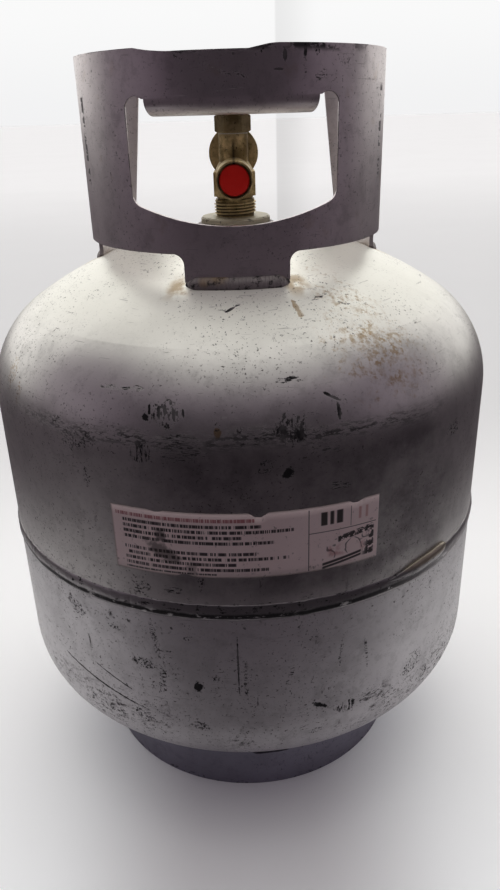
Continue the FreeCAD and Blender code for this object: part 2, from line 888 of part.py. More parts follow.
def cut_outlet(body):
    """Outlet passage, bullnose seat and threaded mouth, all about the outlet's axis."""
    axis = "outlet_height"
    seat = "outlet_face - outlet_thread_length"
    corners = [
        ("chamber_radius - overrun", axis),
        ("chamber_radius - overrun", axis + " + outlet_port_radius"),
        (seat + " - outlet_seat_depth", axis + " + outlet_port_radius"),
        (seat, axis + " + outlet_seat_radius"),
        (seat, axis + " + outlet_thread_radius"),
        ("outlet_face - outlet_lead_in", axis + " + outlet_thread_radius"),
        ("outlet_face", axis + " + outlet_thread_radius + outlet_lead_in"),
        ("outlet_face + overrun", axis + " + outlet_thread_radius + outlet_lead_in"),
        ("outlet_face + overrun", axis),
    ]
    sketch = half_section(body, 180.0)
    outline(sketch, corners)
    groove_about_line(body, sketch, axis)


def cut_relief(body):
    """Relief port, its seat lip, the spring chamber and the mouth that holds the dust cap."""
    axis = "relief_height"
    floor = "relief_seat_depth - relief_lip_height"
    corners = [
        ("0", axis),
        ("0", axis + " + relief_port_radius"),
        ("relief_seat_depth", axis + " + relief_port_radius"),
        ("relief_seat_depth", axis + " + relief_lip_radius + relief_lip_width"),
        (floor, axis + " + relief_lip_radius + relief_lip_width"),
        (floor, axis + " + relief_bore"),
        ("relief_mouth_depth", axis + " + relief_bore"),
        ("relief_mouth_depth", axis + " + relief_mouth_radius"),
        ("relief_face + overrun", axis + " + relief_mouth_radius"),
        ("relief_face + overrun", axis),
    ]
    sketch = half_section(body, 0.0)
    outline(sketch, corners)
    groove_about_line(body, sketch, axis)


def bonnet_gasket():
    top = "column_top + gasket_thickness"
    return turned("bonnet_gasket", box_corners("bonnet_thread_radius", "column_top", "column_radius", top))


def bonnet_nut():
    """Hexagon nut with a skirt that screws into the column and a bore for the spindle."""
    hex_bottom = "column_top + gasket_thickness"
    corners = [
        ("plug_thread_radius + plug_clearance", "bonnet_skirt_bottom"),
        ("bonnet_skirt_radius", "bonnet_skirt_bottom"),
        ("bonnet_skirt_radius", hex_bottom),
        ("bonnet_hex_flats / 2", hex_bottom),
        ("bonnet_hex_flats / 2", "bonnet_hex_top"),
        ("bonnet_nose_radius", "bonnet_hex_top"),
        ("bonnet_nose_radius", "bonnet_top - bonnet_edge"),
        ("bonnet_nose_radius - bonnet_edge", "bonnet_top"),
        ("spindle_bore", "bonnet_top"),
        ("spindle_bore", "bonnet_shoulder"),
        ("plug_thread_radius + plug_clearance", "bonnet_shoulder"),
    ]
    body = turned("bonnet_nut", corners)
    hexagon = plane_sketch(body, "XY_Plane")
    set_off(hexagon, hex_bottom)
    corner = "bonnet_hex_flats / sqrt(3)"
    turns = [(corner, angle) for angle in range(0, 360, 60)]
    outline(hexagon, [("%s * cos(%d)" % turn, "%s * sin(%d)" % turn) for turn in turns])
    circle(hexagon, "0", "0", "bonnet_core_radius")
    extrude(body, hexagon, "bonnet_hex_top - column_top - gasket_thickness")
    for edge_height, inward in ((hex_bottom, 1), ("bonnet_hex_top", -1)):
        trim = half_section(body)
        beyond = corner + " + overrun"
        flat = "bonnet_hex_flats / 2 - bonnet_flat_trim"
        drop = "%s + %d * (%s - (%s)) * tan(30)" % (edge_height, inward, beyond, flat)
        outline(trim, [(flat, edge_height), (beyond, edge_height), (beyond, drop)])
        revolve(body, trim, cut=True)
    return body


def seal_groove(height):
    """Corners of a rectangular seal groove in the upper spindle, centred on a height."""
    half = "ring_groove_height / 2"
    return [
        ("spindle_radius", "%s - %s" % (height, half)),
        ("ring_groove_radius", "%s - %s" % (height, half)),
        ("ring_groove_radius", "%s + %s" % (height, half)),
        ("spindle_radius", "%s + %s" % (height, half)),
    ]


def upper_spindle():
    corners = [
        ("0", "tang_bottom"),
        ("tang_half_width", "tang_bottom"),
        ("tang_half_width", "spindle_flange_bottom"),
        ("spindle_flange_radius", "spindle_flange_bottom"),
        ("spindle_flange_radius", "spindle_flange_top"),
        ("spindle_radius", "spindle_flange_top"),
        *seal_groove("lower_ring_height"),
        *seal_groove("upper_ring_height"),
        ("spindle_radius", "square_top"),
        ("tapping_radius", "square_top"),
        ("tapping_radius", "square_top - tapping_depth"),
        ("0", "square_top - tapping_depth - tapping_point"),
    ]
    body = turned("upper_spindle", corners)
    for low, high, half in (
        ("tang_bottom - overrun", "spindle_flange_bottom", "tang_thickness / 2"),
        ("square_bottom", "square_top + overrun", "square_width / 2"),
    ):
        for side in (1, -1):
            cut_flat(body, low, high, half, side, "XZ_Plane")
            if low == "square_bottom":
                cut_flat(body, low, high, half, side, "YZ_Plane")
    return body


def cut_flat(body, low, high, half, side, role):
    """Mill one flat along the spindle."""
    sketch = plane_sketch(body, role)
    near, far = "%d * (%s)" % (side, half), "%d * spindle_flange_radius * 2" % side
    left, right = (near, far) if side > 0 else (far, near)
    outline(sketch, box_corners(left, low, right, high))
    extrude(body, sketch, "spindle_flange_radius * 4", cut=True, both=True)


def spindle_rings():
    """Two O-rings squeezed between the spindle's grooves and the bonnet's bore."""
    rings = []
    for name in ("lower", "upper"):
        body = new_body("spindle_o_ring_" + name)
        sketch = half_section(body)
        across = "(ring_groove_radius + spindle_bore) / 2"
        circle(sketch, across, name + "_ring_height", "ring_section")
        revolve(body, sketch)
        rings.append(body)
    return rings


def thrust_washer():
    low = "spindle_flange_top"
    corners = box_corners("washer_bore", low, "spindle_flange_radius", low + " + washer_thickness")
    return turned("spindle_thrust_washer", corners)


def lower_spindle():
    corners = [
        ("0", "seat_height + seat_gap + seat_disc_thickness"),
        ("seat_disc_radius", "seat_height + seat_gap + seat_disc_thickness"),
        ("seat_disc_radius", "holder_rim"),
        ("holder_radius", "holder_rim"),
        ("holder_radius", "holder_top"),
        ("plug_neck_radius", "plug_neck_bottom"),
        ("plug_neck_radius", "plug_neck_top"),
        ("plug_thread_radius", "plug_thread_bottom"),
        ("plug_thread_radius", "plug_top"),
        ("0", "plug_top"),
    ]
    body = turned("lower_spindle", corners)
    slot = plane_sketch(body, "YZ_Plane")
    reach = "(plug_thread_radius + overrun)"
    outline(slot, box_corners("-" + reach, "tang_slot_bottom", reach, "plug_top + overrun"))
    extrude(body, slot, "tang_slot_width", cut=True, both=True)
    return body


def seat_disc():
    low = "seat_height + seat_gap"
    return turned("seat_disc", box_corners("0", low, "seat_disc_radius", low + " + seat_disc_thickness"))


# ---------------------------------------------------------------- handwheel
SCALLOPS = 8


def handwheel():
    rim_inner = "wheel_radius - wheel_rim_width"
    corners = [
        ("0", "wheel_hub_bottom"),
        ("wheel_hub_radius", "wheel_hub_bottom"),
        ("wheel_hub_radius", "wheel_web_bottom"),
        (rim_inner, "wheel_web_bottom"),
        (rim_inner, "wheel_bottom"),
        ("wheel_radius", "wheel_bottom"),
        ("wheel_radius", "wheel_top - wheel_rim_slope"),
        (rim_inner, "wheel_top"),
        (rim_inner, "wheel_web_top"),
        ("wheel_hub_radius", "wheel_web_top"),
        ("wheel_hub_radius", "wheel_top"),
        ("wheel_recess_radius", "wheel_top"),
        ("wheel_recess_radius", "wheel_floor"),
        ("0", "wheel_floor"),
    ]
    body = turned("handwheel", corners)
    scallop = plane_sketch(body, "XY_Plane")
    circle(scallop, "scallop_distance", "0", "scallop_radius")
    through = "wheel_top * 2 + overrun"
    cut = extrude(body, scallop, through, cut=True, both=True)
    repeat_round(body, cut, SCALLOPS)
    square = plane_sketch(body, "XY_Plane")
    half = "wheel_square / 2"
    outline(square, box_corners("-" + half, "-" + half, half, half))
    extrude(body, square, through, cut=True, both=True)

    def grip_edge(edge, middle):
        outer = radius_of(middle) > value("scallop_distance - scallop_radius - wheel_edge")
        low = close_to(middle.z, "wheel_bottom")
        high = close_to(middle.z, "wheel_top - wheel_rim_slope / 2", value("wheel_rim_slope / 2"))
        return outer and (low or high)

    round_edges(body, grip_edge, "wheel_edge")
    return body


def handwheel_washer():
    low = "wheel_floor"
    corners = box_corners("wheel_washer_bore", low, "wheel_washer_radius", low + " + wheel_washer_thickness")
    return turned("handwheel_washer", corners)


def handwheel_screw():
    under_head = "wheel_floor + wheel_washer_thickness"
    corners = [
        ("0", under_head + " - wheel_screw_length"),
        ("wheel_screw_radius", under_head + " - wheel_screw_length"),
        ("wheel_screw_radius", under_head),
        ("wheel_screw_head_radius", under_head),
        ("wheel_screw_head_radius", under_head + " + wheel_screw_head_side"),
        ("wheel_screw_head_flat", under_head + " + wheel_screw_head"),
        ("0", under_head + " + wheel_screw_head"),
    ]
    body = turned("handwheel_screw", corners)
    for role in ("XZ_Plane", "YZ_Plane"):
        slot = plane_sketch(body, role)
        low = under_head + " + wheel_screw_slot_floor"
        high = under_head + " + wheel_screw_head + overrun"
        half = "wheel_screw_slot / 2"
        outline(slot, box_corners("-" + half, low, half, high))
        extrude(body, slot, "wheel_screw_head_radius", cut=True, both=True)
    return body


# ---------------------------------------------------------------- relief valve
def face_forward(body):
    """Relief pieces are drawn upright and then laid along -Y at the relief valve's height."""
    body.Placement = FreeCAD.Placement(
        FreeCAD.Vector(0, 0, value("relief_height")), FreeCAD.Rotation(FreeCAD.Vector(1, 0, 0), 90))
    body.setExpression("Placement.Base.z", cells("relief_height"))
    DOC.recompute()
    return body


def relief_poppet():
    corners = [
        ("0", "relief_seal_end"),
        ("relief_seal_radius + relief_seal_gap", "relief_seal_end"),
        ("relief_seal_radius + relief_seal_gap", "poppet_front"),
        ("poppet_radius", "poppet_front"),
        ("poppet_radius", "poppet_back"),
        ("poppet_stem_radius", "poppet_back"),
        ("poppet_stem_radius", "poppet_stem_end"),
        ("0", "poppet_stem_end"),
    ]
    return face_forward(turned("relief_poppet", corners))


def relief_seal():
    low = "relief_seat_depth + relief_seal_gap"
    return face_forward(turned("relief_seal", box_corners("0", low, "relief_seal_radius", "relief_seal_end")))


def relief_spring():
    """A plain compression coil between the poppet and the adjuster."""
    body = new_body("relief_spring")
    sketch = half_section(body)
    wire_radius = "spring_wire / 2"
    circle(sketch, "spring_mean_radius", "spring_start + " + wire_radius, wire_radius)
    coil = body.newObject("PartDesign::AdditiveHelix", "relief_spring_coil")
    coil.Profile = sketch
    coil.ReferenceAxis = (sketch, ["V_Axis"])
    coil.Mode = "height-turns-angle"
    bind(coil, "Height", "spring_end - spring_start - spring_wire")
    bind(coil, "Turns", "spring_turns")
    DOC.recompute()
    return face_forward(body)


def relief_adjuster():
    corners = [
        ("adjuster_hole", "adjuster_front"),
        ("adjuster_radius", "adjuster_front"),
        ("adjuster_radius", "adjuster_back"),
        ("adjuster_hole", "adjuster_back"),
    ]
    body = turned("relief_adjuster", corners)
    return face_forward(body)


def relief_dust_cap():
    corners = [
        ("0", "cap_back"),
        ("cap_skirt_bore", "cap_back"),
        ("cap_skirt_bore", "cap_skirt_end"),
        ("cap_skirt_radius", "cap_skirt_end"),
        ("cap_skirt_radius", "cap_back"),
        ("cap_radius", "cap_back"),
        ("cap_radius", "cap_front - cap_edge"),
        ("cap_radius - cap_edge", "cap_front"),
        ("0", "cap_front"),
    ]
    return face_forward(turned("relief_dust_cap", corners, {6: ("cap_edge", "left")}))


# ---------------------------------------------------------------- build, check and write
def build():
    fill_sheet()
    bodies = [upper_shell(), lower_shell(), seam_weld(), valve_bung(), bung_weld(), collar()]
    bodies += collar_welds()
    bodies += [foot_ring()] + foot_ring_welds() + [info_label()]
    bodies += [valve_body(), bonnet_gasket(), bonnet_nut(), upper_spindle(), thrust_washer()]
    bodies += spindle_rings()
    bodies += [lower_spindle(), seat_disc(), handwheel(), handwheel_washer(), handwheel_screw()]
    bodies += [relief_poppet(), relief_seal(), relief_spring(), relief_adjuster(), relief_dust_cap()]
    return bodies


def check(bodies):
    faults = [item.Name for item in DOC.Objects if "Invalid" in item.State or "Error" in item.State]
    for body in bodies:
        shape = body.Shape
        if shape.isNull() or not shape.isValid() or len(shape.Solids) != 1:
            faults.append("%s: %d solids" % (body.Label, len(shape.Solids)))
    if faults:
        raise RuntimeError("faulty objects: " + ", ".join(faults))


def write(bodies):
    os.makedirs("parts", exist_ok=True)
    for body in bodies:
        body.Shape.exportStep("parts/%s.step" % body.Label)
        box = body.Shape.BoundBox
        print("%-24s volume %10.1f  z %7.2f to %7.2f" % (body.Label, body.Shape.Volume, box.ZMin, box.ZMax))


BODIES = build()
check(BODIES)
write(BODIES)
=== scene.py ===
"""Looks of a refillable gas cylinder: worn silver-grey paint, lumpy welds, aged brass and a scuffed label.

Metres, in the CAD frame: +Z up, the collar's hand window and the label face -Y. A bearing is measured
in degrees from -Y and grows towards +X. Places come from the CAD nodes' boxes and surfaces, or have
names at the top.
"""
import json
import math

import bpy
from mathutils import Matrix, Vector, noise
from mathutils.bvhtree import BVHTree


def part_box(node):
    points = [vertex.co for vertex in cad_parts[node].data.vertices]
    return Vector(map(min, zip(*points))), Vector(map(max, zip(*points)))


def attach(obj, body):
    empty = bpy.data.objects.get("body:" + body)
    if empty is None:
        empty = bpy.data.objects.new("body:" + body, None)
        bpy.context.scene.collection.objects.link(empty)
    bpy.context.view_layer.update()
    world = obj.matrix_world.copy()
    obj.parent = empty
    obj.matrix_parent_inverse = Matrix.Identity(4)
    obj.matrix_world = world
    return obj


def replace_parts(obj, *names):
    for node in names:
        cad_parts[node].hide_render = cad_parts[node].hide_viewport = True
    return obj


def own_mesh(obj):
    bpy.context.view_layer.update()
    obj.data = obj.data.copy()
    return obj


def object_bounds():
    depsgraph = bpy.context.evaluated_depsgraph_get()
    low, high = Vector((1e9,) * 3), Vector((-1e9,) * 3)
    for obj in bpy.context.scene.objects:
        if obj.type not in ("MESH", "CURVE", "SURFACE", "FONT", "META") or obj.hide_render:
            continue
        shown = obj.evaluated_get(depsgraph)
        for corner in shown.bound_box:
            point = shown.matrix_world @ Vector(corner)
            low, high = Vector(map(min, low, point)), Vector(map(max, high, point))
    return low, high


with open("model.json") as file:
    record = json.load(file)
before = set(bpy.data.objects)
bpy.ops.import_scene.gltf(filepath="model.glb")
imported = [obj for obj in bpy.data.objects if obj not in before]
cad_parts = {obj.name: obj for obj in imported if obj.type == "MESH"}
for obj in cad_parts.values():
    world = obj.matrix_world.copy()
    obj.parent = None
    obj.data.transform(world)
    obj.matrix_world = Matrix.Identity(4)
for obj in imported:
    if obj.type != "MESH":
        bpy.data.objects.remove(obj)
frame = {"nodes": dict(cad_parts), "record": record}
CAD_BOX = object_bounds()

MM = 0.001


def lowest(node):
    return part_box(node)[0]


def highest(node):
    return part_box(node)[1]


SHELL_RADIUS = highest("upper_shell").x
COLLAR_RADIUS = highest("collar").x
COLLAR_TOP = highest("collar").z
FOOT_RADIUS = highest("foot_ring").x
SEAM_LOW, SEAM_HIGH = lowest("seam_weld").z, highest("seam_weld").z
LABEL_LOW, LABEL_HIGH = lowest("info_label").z, highest("info_label").z
LABEL_HALF_ANGLE = math.degrees(math.asin(highest("info_label").x / math.hypot(
    highest("info_label").x, highest("info_label").y)))
RELIEF_HEIGHT = (lowest("relief_dust_cap").z + highest("relief_dust_cap").z) / 2
BUNG_TOP = highest("valve_bung").z
BUNG_RADIUS = highest("valve_bung").x
COLUMN_RADIUS = highest("bonnet_gasket").x

# Heights and bearings of what the paint shows and of the welds, and the beads' sizes
WALL_LOW, WALL_HIGH = 0.194, 0.284
KNUCKLE_LOW, KNUCKLE_HIGH = 0.2815, 0.2885
SHOULDER_LOW, SHOULDER_HIGH = 0.262, 0.306
# Heights over which the dome's top is painted paler, a painted highlight
TOP_HIGHLIGHT_LOW, TOP_HIGHLIGHT_HIGH = 0.314, 0.338
BELLY_LOW, BELLY_HIGH = 0.100, 0.128
RUBBED_LOW, RUBBED_HIGH = 0.084, 0.110
STAMPED_LOW, STAMPED_HIGH = 0.396, 0.443
STAMPED_LEFT, STAMPED_RIGHT = 66.0, 69.0
DARK_LEFT, DARK_RIGHT = -22.0, 50.0
FRONT_LEG = 18.5
SIDE_LEGS = (95.0, 126.5)
FOOT_WELD, FOOT_WELD_HALF = 66.5, 42.0
OVERLAP_FIRST, OVERLAP_LAST = 29.0, 48.5
FRONT_BEAD, SIDE_BEAD, FOOT_BEAD = 4.4 * MM, 4.2 * MM, 3.4 * MM
RIPPLE_SPACING, RIPPLE_HEIGHT = 2.2 * MM, 0.5 * MM
BEAD_STEP = 0.35 * MM

# The valve's heights, depths, radii and threads, and the label's film
COLUMN_LOW, COLUMN_HIGH = 0.402, 0.4155
# Height from which the valve's top is painted darker, a painted shade
BONNET_SHADE_LOW, BONNET_SHADE_HIGH = 0.416, 0.422
FLASH_LOW, FLASH_LENGTH = 0.4045, 0.0145
# Depths behind the column from which the outlet boss is painted paler, a painted light
OUTLET_START, OUTLET_END = 0.010, 0.016
THREADED_LOW, THREADED_HIGH = 0.3725, 0.3830
THREAD_ROOT, THREAD_MIDDLE, THREAD_CREST = 0.0117, 0.0121, 0.0130
THREAD_PITCH = 1.814 * MM
SHANK_RADIUS = 12.0 * MM
SHANK_LENGTH = 10.1 * MM
FILM_GAP, FILM_THICKNESS = 0.02 * MM, 0.15 * MM

# The camera and the light
CAMERA_PLACE = (0.0, -0.4886, 0.4343)
CAMERA_PITCH, CAMERA_YAW, CAMERA_ROLL = math.radians(24.48), math.radians(0.57), math.radians(-1.68)
CAMERA_LENS = 30.05
SIDE_LIGHT = 0.30
BACK_LIGHT = 1.18
TOP_LIGHT = 0.80
PANEL_LIGHT = 3.0
ROOM_LIGHT = 0.009
SUN_LIGHT = 0.25
CORNER = 0.054
EXPOSURE, GAMMA = 0.30, 0.85


# ---------------------------------------------------------------- node materials
class Look:
    """One procedural material. Its methods add nodes and return the socket with the result; finish closes
    the material and returns it. Masks go from 0 to 1."""

    def __init__(self, name, family=bpy.data.materials, coordinates="Object"):
        self.material = family.new(name)
        self.material.use_nodes = True
        self.nodes = self.material.node_tree.nodes
        self.links = self.material.node_tree.links
        self.nodes.clear()
        self.place = self.nodes.new("ShaderNodeTexCoord").outputs[coordinates]
        split = self.nodes.new("ShaderNodeSeparateXYZ")
        self.links.new(self.place, split.inputs[0])
        self.x, self.y, self.z = split.outputs
        self._bearing = None

    def feed(self, socket, given):
        if isinstance(given, bpy.types.NodeSocket):
            self.links.new(given, socket)
        else:
            socket.default_value = given

    def math(self, operation, *given):
        node = self.nodes.new("ShaderNodeMath")
        node.operation = operation
        for socket, item in zip(node.inputs, given):
            self.feed(socket, item)
        return node.outputs[0]

    def chain(self, operation, given):
        total = given[0]
        for item in given[1:]:
            total = self.math(operation, total, item)
        return total

    def add(self, *given):
        return self.chain("ADD", given)

    def times(self, *given):
        return self.chain("MULTIPLY", given)

    def less(self, first, second):
        return self.math("SUBTRACT", first, second)

    def most(self, *given):
        return self.chain("MAXIMUM", given)

    def invert(self, given):
        return self.less(1.0, given)

    def size(self, given):
        return self.math("ABSOLUTE", given)

    def length(self, first, second):
        return self.math("SQRT", self.add(self.times(first, first), self.times(second, second)))

    def drift(self, scale, detail, reach, roughness=0.55):
        """Noise about 0, times the reach."""
        return self.times(self.less(self.noise(scale, detail, roughness), 0.5), reach)

    def step(self, given, start, end):
        """0 up to start and 1 from end on, smooth between them; start may be the larger."""
        node = self.nodes.new("ShaderNodeMapRange")
        node.interpolation_type = "SMOOTHSTEP"
        self.feed(node.inputs["Value"], given)
        node.inputs["From Min"].default_value = start
        node.inputs["From Max"].default_value = end
        return node.outputs[0]

    def within(self, given, low, high, soft):
        rise = self.step(given, low - soft, low + soft)
        return self.times(rise, self.step(given, high + soft, high - soft))

    def stretched(self, factors, turn=(0.0, 0.0, 0.0)):
        node = self.nodes.new("ShaderNodeMapping")
        self.links.new(self.place, node.inputs["Vector"])
        node.inputs["Rotation"].default_value = turn
        node.inputs["Scale"].default_value = factors
        return node.outputs[0]

    def noise(self, scale, detail=3.0, roughness=0.55, vector=None, distortion=0.0):
        node = self.nodes.new("ShaderNodeTexNoise")
        self.links.new(vector or self.place, node.inputs["Vector"])
        node.inputs["Scale"].default_value = scale
        node.inputs["Detail"].default_value = detail
        node.inputs["Roughness"].default_value = roughness
        node.inputs["Distortion"].default_value = distortion
        return node.outputs["Fac"]

    def patches(self, low, high, *grain, **more):
        """Patches of noise: 0 where it is under low and 1 where it is over high."""
        return self.step(self.noise(*grain, **more), low, high)

    def mix(self, share, first, second):
        node = self.nodes.new("ShaderNodeMix")
        node.data_type = "RGBA"
        self.feed(node.inputs["Factor"], share)
        self.feed(node.inputs["A"], first)
        self.feed(node.inputs["B"], second)
        return node.outputs["Result"]

    def over(self, colour, layer, *masks):
        """One colour laid over another where the masks allow it."""
        return self.mix(self.times(*masks), colour, layer)

    @property
    def bearing(self):
        if self._bearing is None:
            self._bearing = self.math("ARCTAN2", self.x, self.times(self.y, -1.0))
        return self._bearing

    def facing(self, left, right, soft):
        """1 between two bearings in degrees, with soft edges in radians."""
        return self.within(self.bearing, math.radians(left), math.radians(right), soft)

    def worn_edge(self, radius):
        """1 on convex and concave corners tighter than the radius."""
        plain = self.nodes.new("ShaderNodeNewGeometry")
        dot = self.nodes.new("ShaderNodeVectorMath")
        dot.operation = "DOT_PRODUCT"
        self.links.new(self.rounded(radius), dot.inputs[0])
        self.links.new(plain.outputs["Normal"], dot.inputs[1])
        return self.step(dot.outputs["Value"], 0.985, 0.9)

    def spot(self, bearing, height, half_width, half_height, turn=0.0, ragged=0.85, soft=0.22):
        """1 inside a ragged spot on the body's side, 0 outside it. Sizes in metres, angles in degrees."""
        across = self.times(self.less(self.bearing, math.radians(bearing)), SHELL_RADIUS)
        up = self.less(self.z, height)
        cosine, sine = math.cos(math.radians(turn)), math.sin(math.radians(turn))
        along = self.add(self.times(across, cosine / half_width), self.times(up, sine / half_width))
        side = self.add(self.times(across, -sine / half_height), self.times(up, cosine / half_height))
        reach = self.length(along, side)
        uneven = self.drift(250.0, 6.0, 3.0 * ragged, 0.7)
        return self.step(self.add(reach, uneven), 1.0, 1.0 - soft)

    def blend(self, share, first, second):
        """A mix of two shaders."""
        node = self.nodes.new("ShaderNodeMixShader")
        for socket, item in zip(node.inputs, (share, first, second)):
            self.links.new(item, socket)
        return node.outputs[0]

    def glow(self, colour, strength=1.0):
        node = self.nodes.new("ShaderNodeBackground")
        self.feed(node.inputs["Color"], colour)
        self.feed(node.inputs["Strength"], strength)
        return node.outputs[0]

    def seen(self):
        """1 for what is looked at straight, 0 for light and reflections."""
        return self.nodes.new("ShaderNodeLightPath").outputs["Is Camera Ray"]

    def bump(self, height, strength, distance, base=None):
        node = self.nodes.new("ShaderNodeBump")
        node.inputs["Strength"].default_value = strength
        node.inputs["Distance"].default_value = distance
        self.links.new(height, node.inputs["Height"])
        if base is not None:
            self.links.new(base, node.inputs["Normal"])
        return node.outputs[0]

    def rounded(self, radius):
        node = self.nodes.new("ShaderNodeBevel")
        node.samples = 4
        node.inputs["Radius"].default_value = radius
        return node.outputs[0]

    def finish(self, colour, roughness, metallic=0.0, normal=None, lift=0.0, **constants):
        shader = self.nodes.new("ShaderNodeBsdfPrincipled")
        self.feed(shader.inputs["Base Color"], colour)
        self.feed(shader.inputs["Roughness"], roughness)
        self.feed(shader.inputs["Metallic"], metallic)
        self.feed(shader.inputs["Emission Strength"], lift)
        if normal is not None:
            self.links.new(normal, shader.inputs["Normal"])
        for name, constant in constants.items():
            shader.inputs[name.replace("_", " ")].default_value = constant
        output = self.nodes.new("ShaderNodeOutputMaterial")
        self.links.new(shader.outputs[0], output.inputs["Surface"])
        return self.material


def rgb(red, green, blue):
    return (red, green, blue, 1.0)


def shade_of(tone, share):
    return rgb(*(share * part for part in tone))


BLACK = rgb(0.0, 0.0, 0.0)
CHIP = rgb(0.010, 0.009, 0.011)
DIRT = rgb(0.055, 0.050, 0.048)
TAN = rgb(0.36, 0.25, 0.12)


def silver_paint(name, tone, chips, stains=None, wear=None, darkening=None, busy=None, highlight_top=None, dirt=0.5):
    """Silver-grey paint: uneven tone, grime, specks, scratches, stains and chips down to dark metal.

    The functions given after the tone take the look and return masks, in order: bare chips, tan stains, black
    wear, a darker band, where specks lie close together, and the top, which is painted paler as a painted
    highlight for light from above and made more matt."""
    look = Look(name)
    light = rgb(*tone)
    broad = look.patches(0.36, 0.66, 9.0, 4.0)
    colour = look.mix(broad, shade_of(tone, 0.84), light)
    cloud = look.patches(0.46, 0.70, 42.0, 5.0, 0.65)
    colour = look.over(colour, shade_of(tone, 0.55), cloud, 0.32)
    smudge = look.patches(0.50, 0.66, 115.0, 6.0, 0.75)
    colour = look.over(colour, shade_of(tone, 0.42), smudge, 0.27)
    # A darker band over the straight wall, mottled.
    if darkening:
        mottle = look.add(0.55, look.times(look.patches(0.34, 0.66, 30.0, 6.0, 0.7), 0.45))
        colour = look.over(colour, rgb(0.070, 0.054, 0.068), darkening(look), mottle)
    # Painted highlight: the dome's top is painted a paler colour, standing for light from above that reaches
    # it.
    if highlight_top:
        lit_matt_top = highlight_top(look)
        colour = look.over(colour, rgb(0.90, 0.905, 0.84), lit_matt_top, 0.80)
    if stains:
        colour = look.over(colour, TAN, stains(look))

    gritty = look.patches(0.40, 0.58, 13.0, 3.0)
    if busy:
        gritty = look.most(gritty, busy(look))
    specks = look.patches(0.62, 0.68, 640.0, 3.0, 0.6)
    flecks = look.patches(0.64, 0.68, 310.0, 5.0, 0.7)
    crumbs = look.patches(0.64, 0.68, 150.0, 6.0, 0.8, distortion=1.2)
    drag = look.stretched((1.0, 1.0, 6.0), (0.25, 0.10, 0.0))
    scuffs = look.patches(0.63, 0.68, 110.0, 6.0, 0.75, drag)
    rain = look.patches(0.64, 0.69, 170.0, 6.0, 0.75, look.stretched((1.0, 1.0, 0.16)))
    soiled = look.most(specks, flecks, crumbs, scuffs, rain)
    soiled = look.times(soiled, look.add(look.times(gritty, 0.88), 0.12), dirt)
    colour = look.over(colour, DIRT, soiled)

    hair = look.stretched((1.0, 1.0, 22.0), (0.5, 0.35, 0.2))
    scratches = look.patches(0.70, 0.725, 60.0, 2.0, 0.5, hair)
    colour = look.over(colour, shade_of(tone, 0.40), scratches, 0.45)

    ragged_edge = look.times(look.worn_edge(0.0008), look.patches(0.50, 0.58, 90.0, 4.0), 0.8)
    bare = look.most(chips(look), ragged_edge)
    if wear:
        bare = look.most(bare, wear(look))
    colour = look.over(colour, CHIP, bare)

    peel = look.noise(520.0, 2.0)
    waves = look.noise(28.0, 2.0)
    normal = look.bump(waves, 0.25, 0.0012, look.rounded(0.0006))
    normal = look.bump(peel, 0.10, 0.0003, normal)
    normal = look.bump(look.invert(look.most(bare, look.times(scratches, 0.6))), 0.5, 0.00012, normal)
    marked = look.most(bare, soiled)
    sheen = look.add(0.30, look.times(look.noise(60.0, 4.0), 0.14), look.times(marked, 0.28))
    metal = look.times(look.invert(marked), 0.80)
    if highlight_top:
        metal = look.times(metal, look.invert(look.times(lit_matt_top, 0.40)))
        sheen = look.add(sheen, look.times(lit_matt_top, 0.06))
    return look.finish(colour, sheen, metal, normal)


def spots(look, places):
    """The most of several spots. A place is bearing, height, half sizes in mm, turn and grain."""
    strokes = look.patches(0.49, 0.54, 800.0, 3.0, 0.6, look.stretched((1.0, 1.0, 0.20)))
    grains = look.patches(0.52, 0.56, 760.0, 5.0, 0.7)
    smear = look.patches(0.51, 0.56, 620.0, 5.0, 0.7, look.stretched((0.35, 0.35, 2.2)))
    grain_of = {"strokes": strokes, "grains": grains, "smear": smear}
    masks = []
    for bearing, height, half_width, half_height, turn, grain in places:
        mask = look.spot(bearing, height * MM, half_width * MM, half_height * MM, turn)
        masks.append(look.times(mask, grain_of[grain]) if grain in grain_of else mask)
    faded = look.add(0.72, look.times(look.patches(0.40, 0.55, 85.0, 3.0), 0.28))
    return look.times(look.most(*masks), faded)


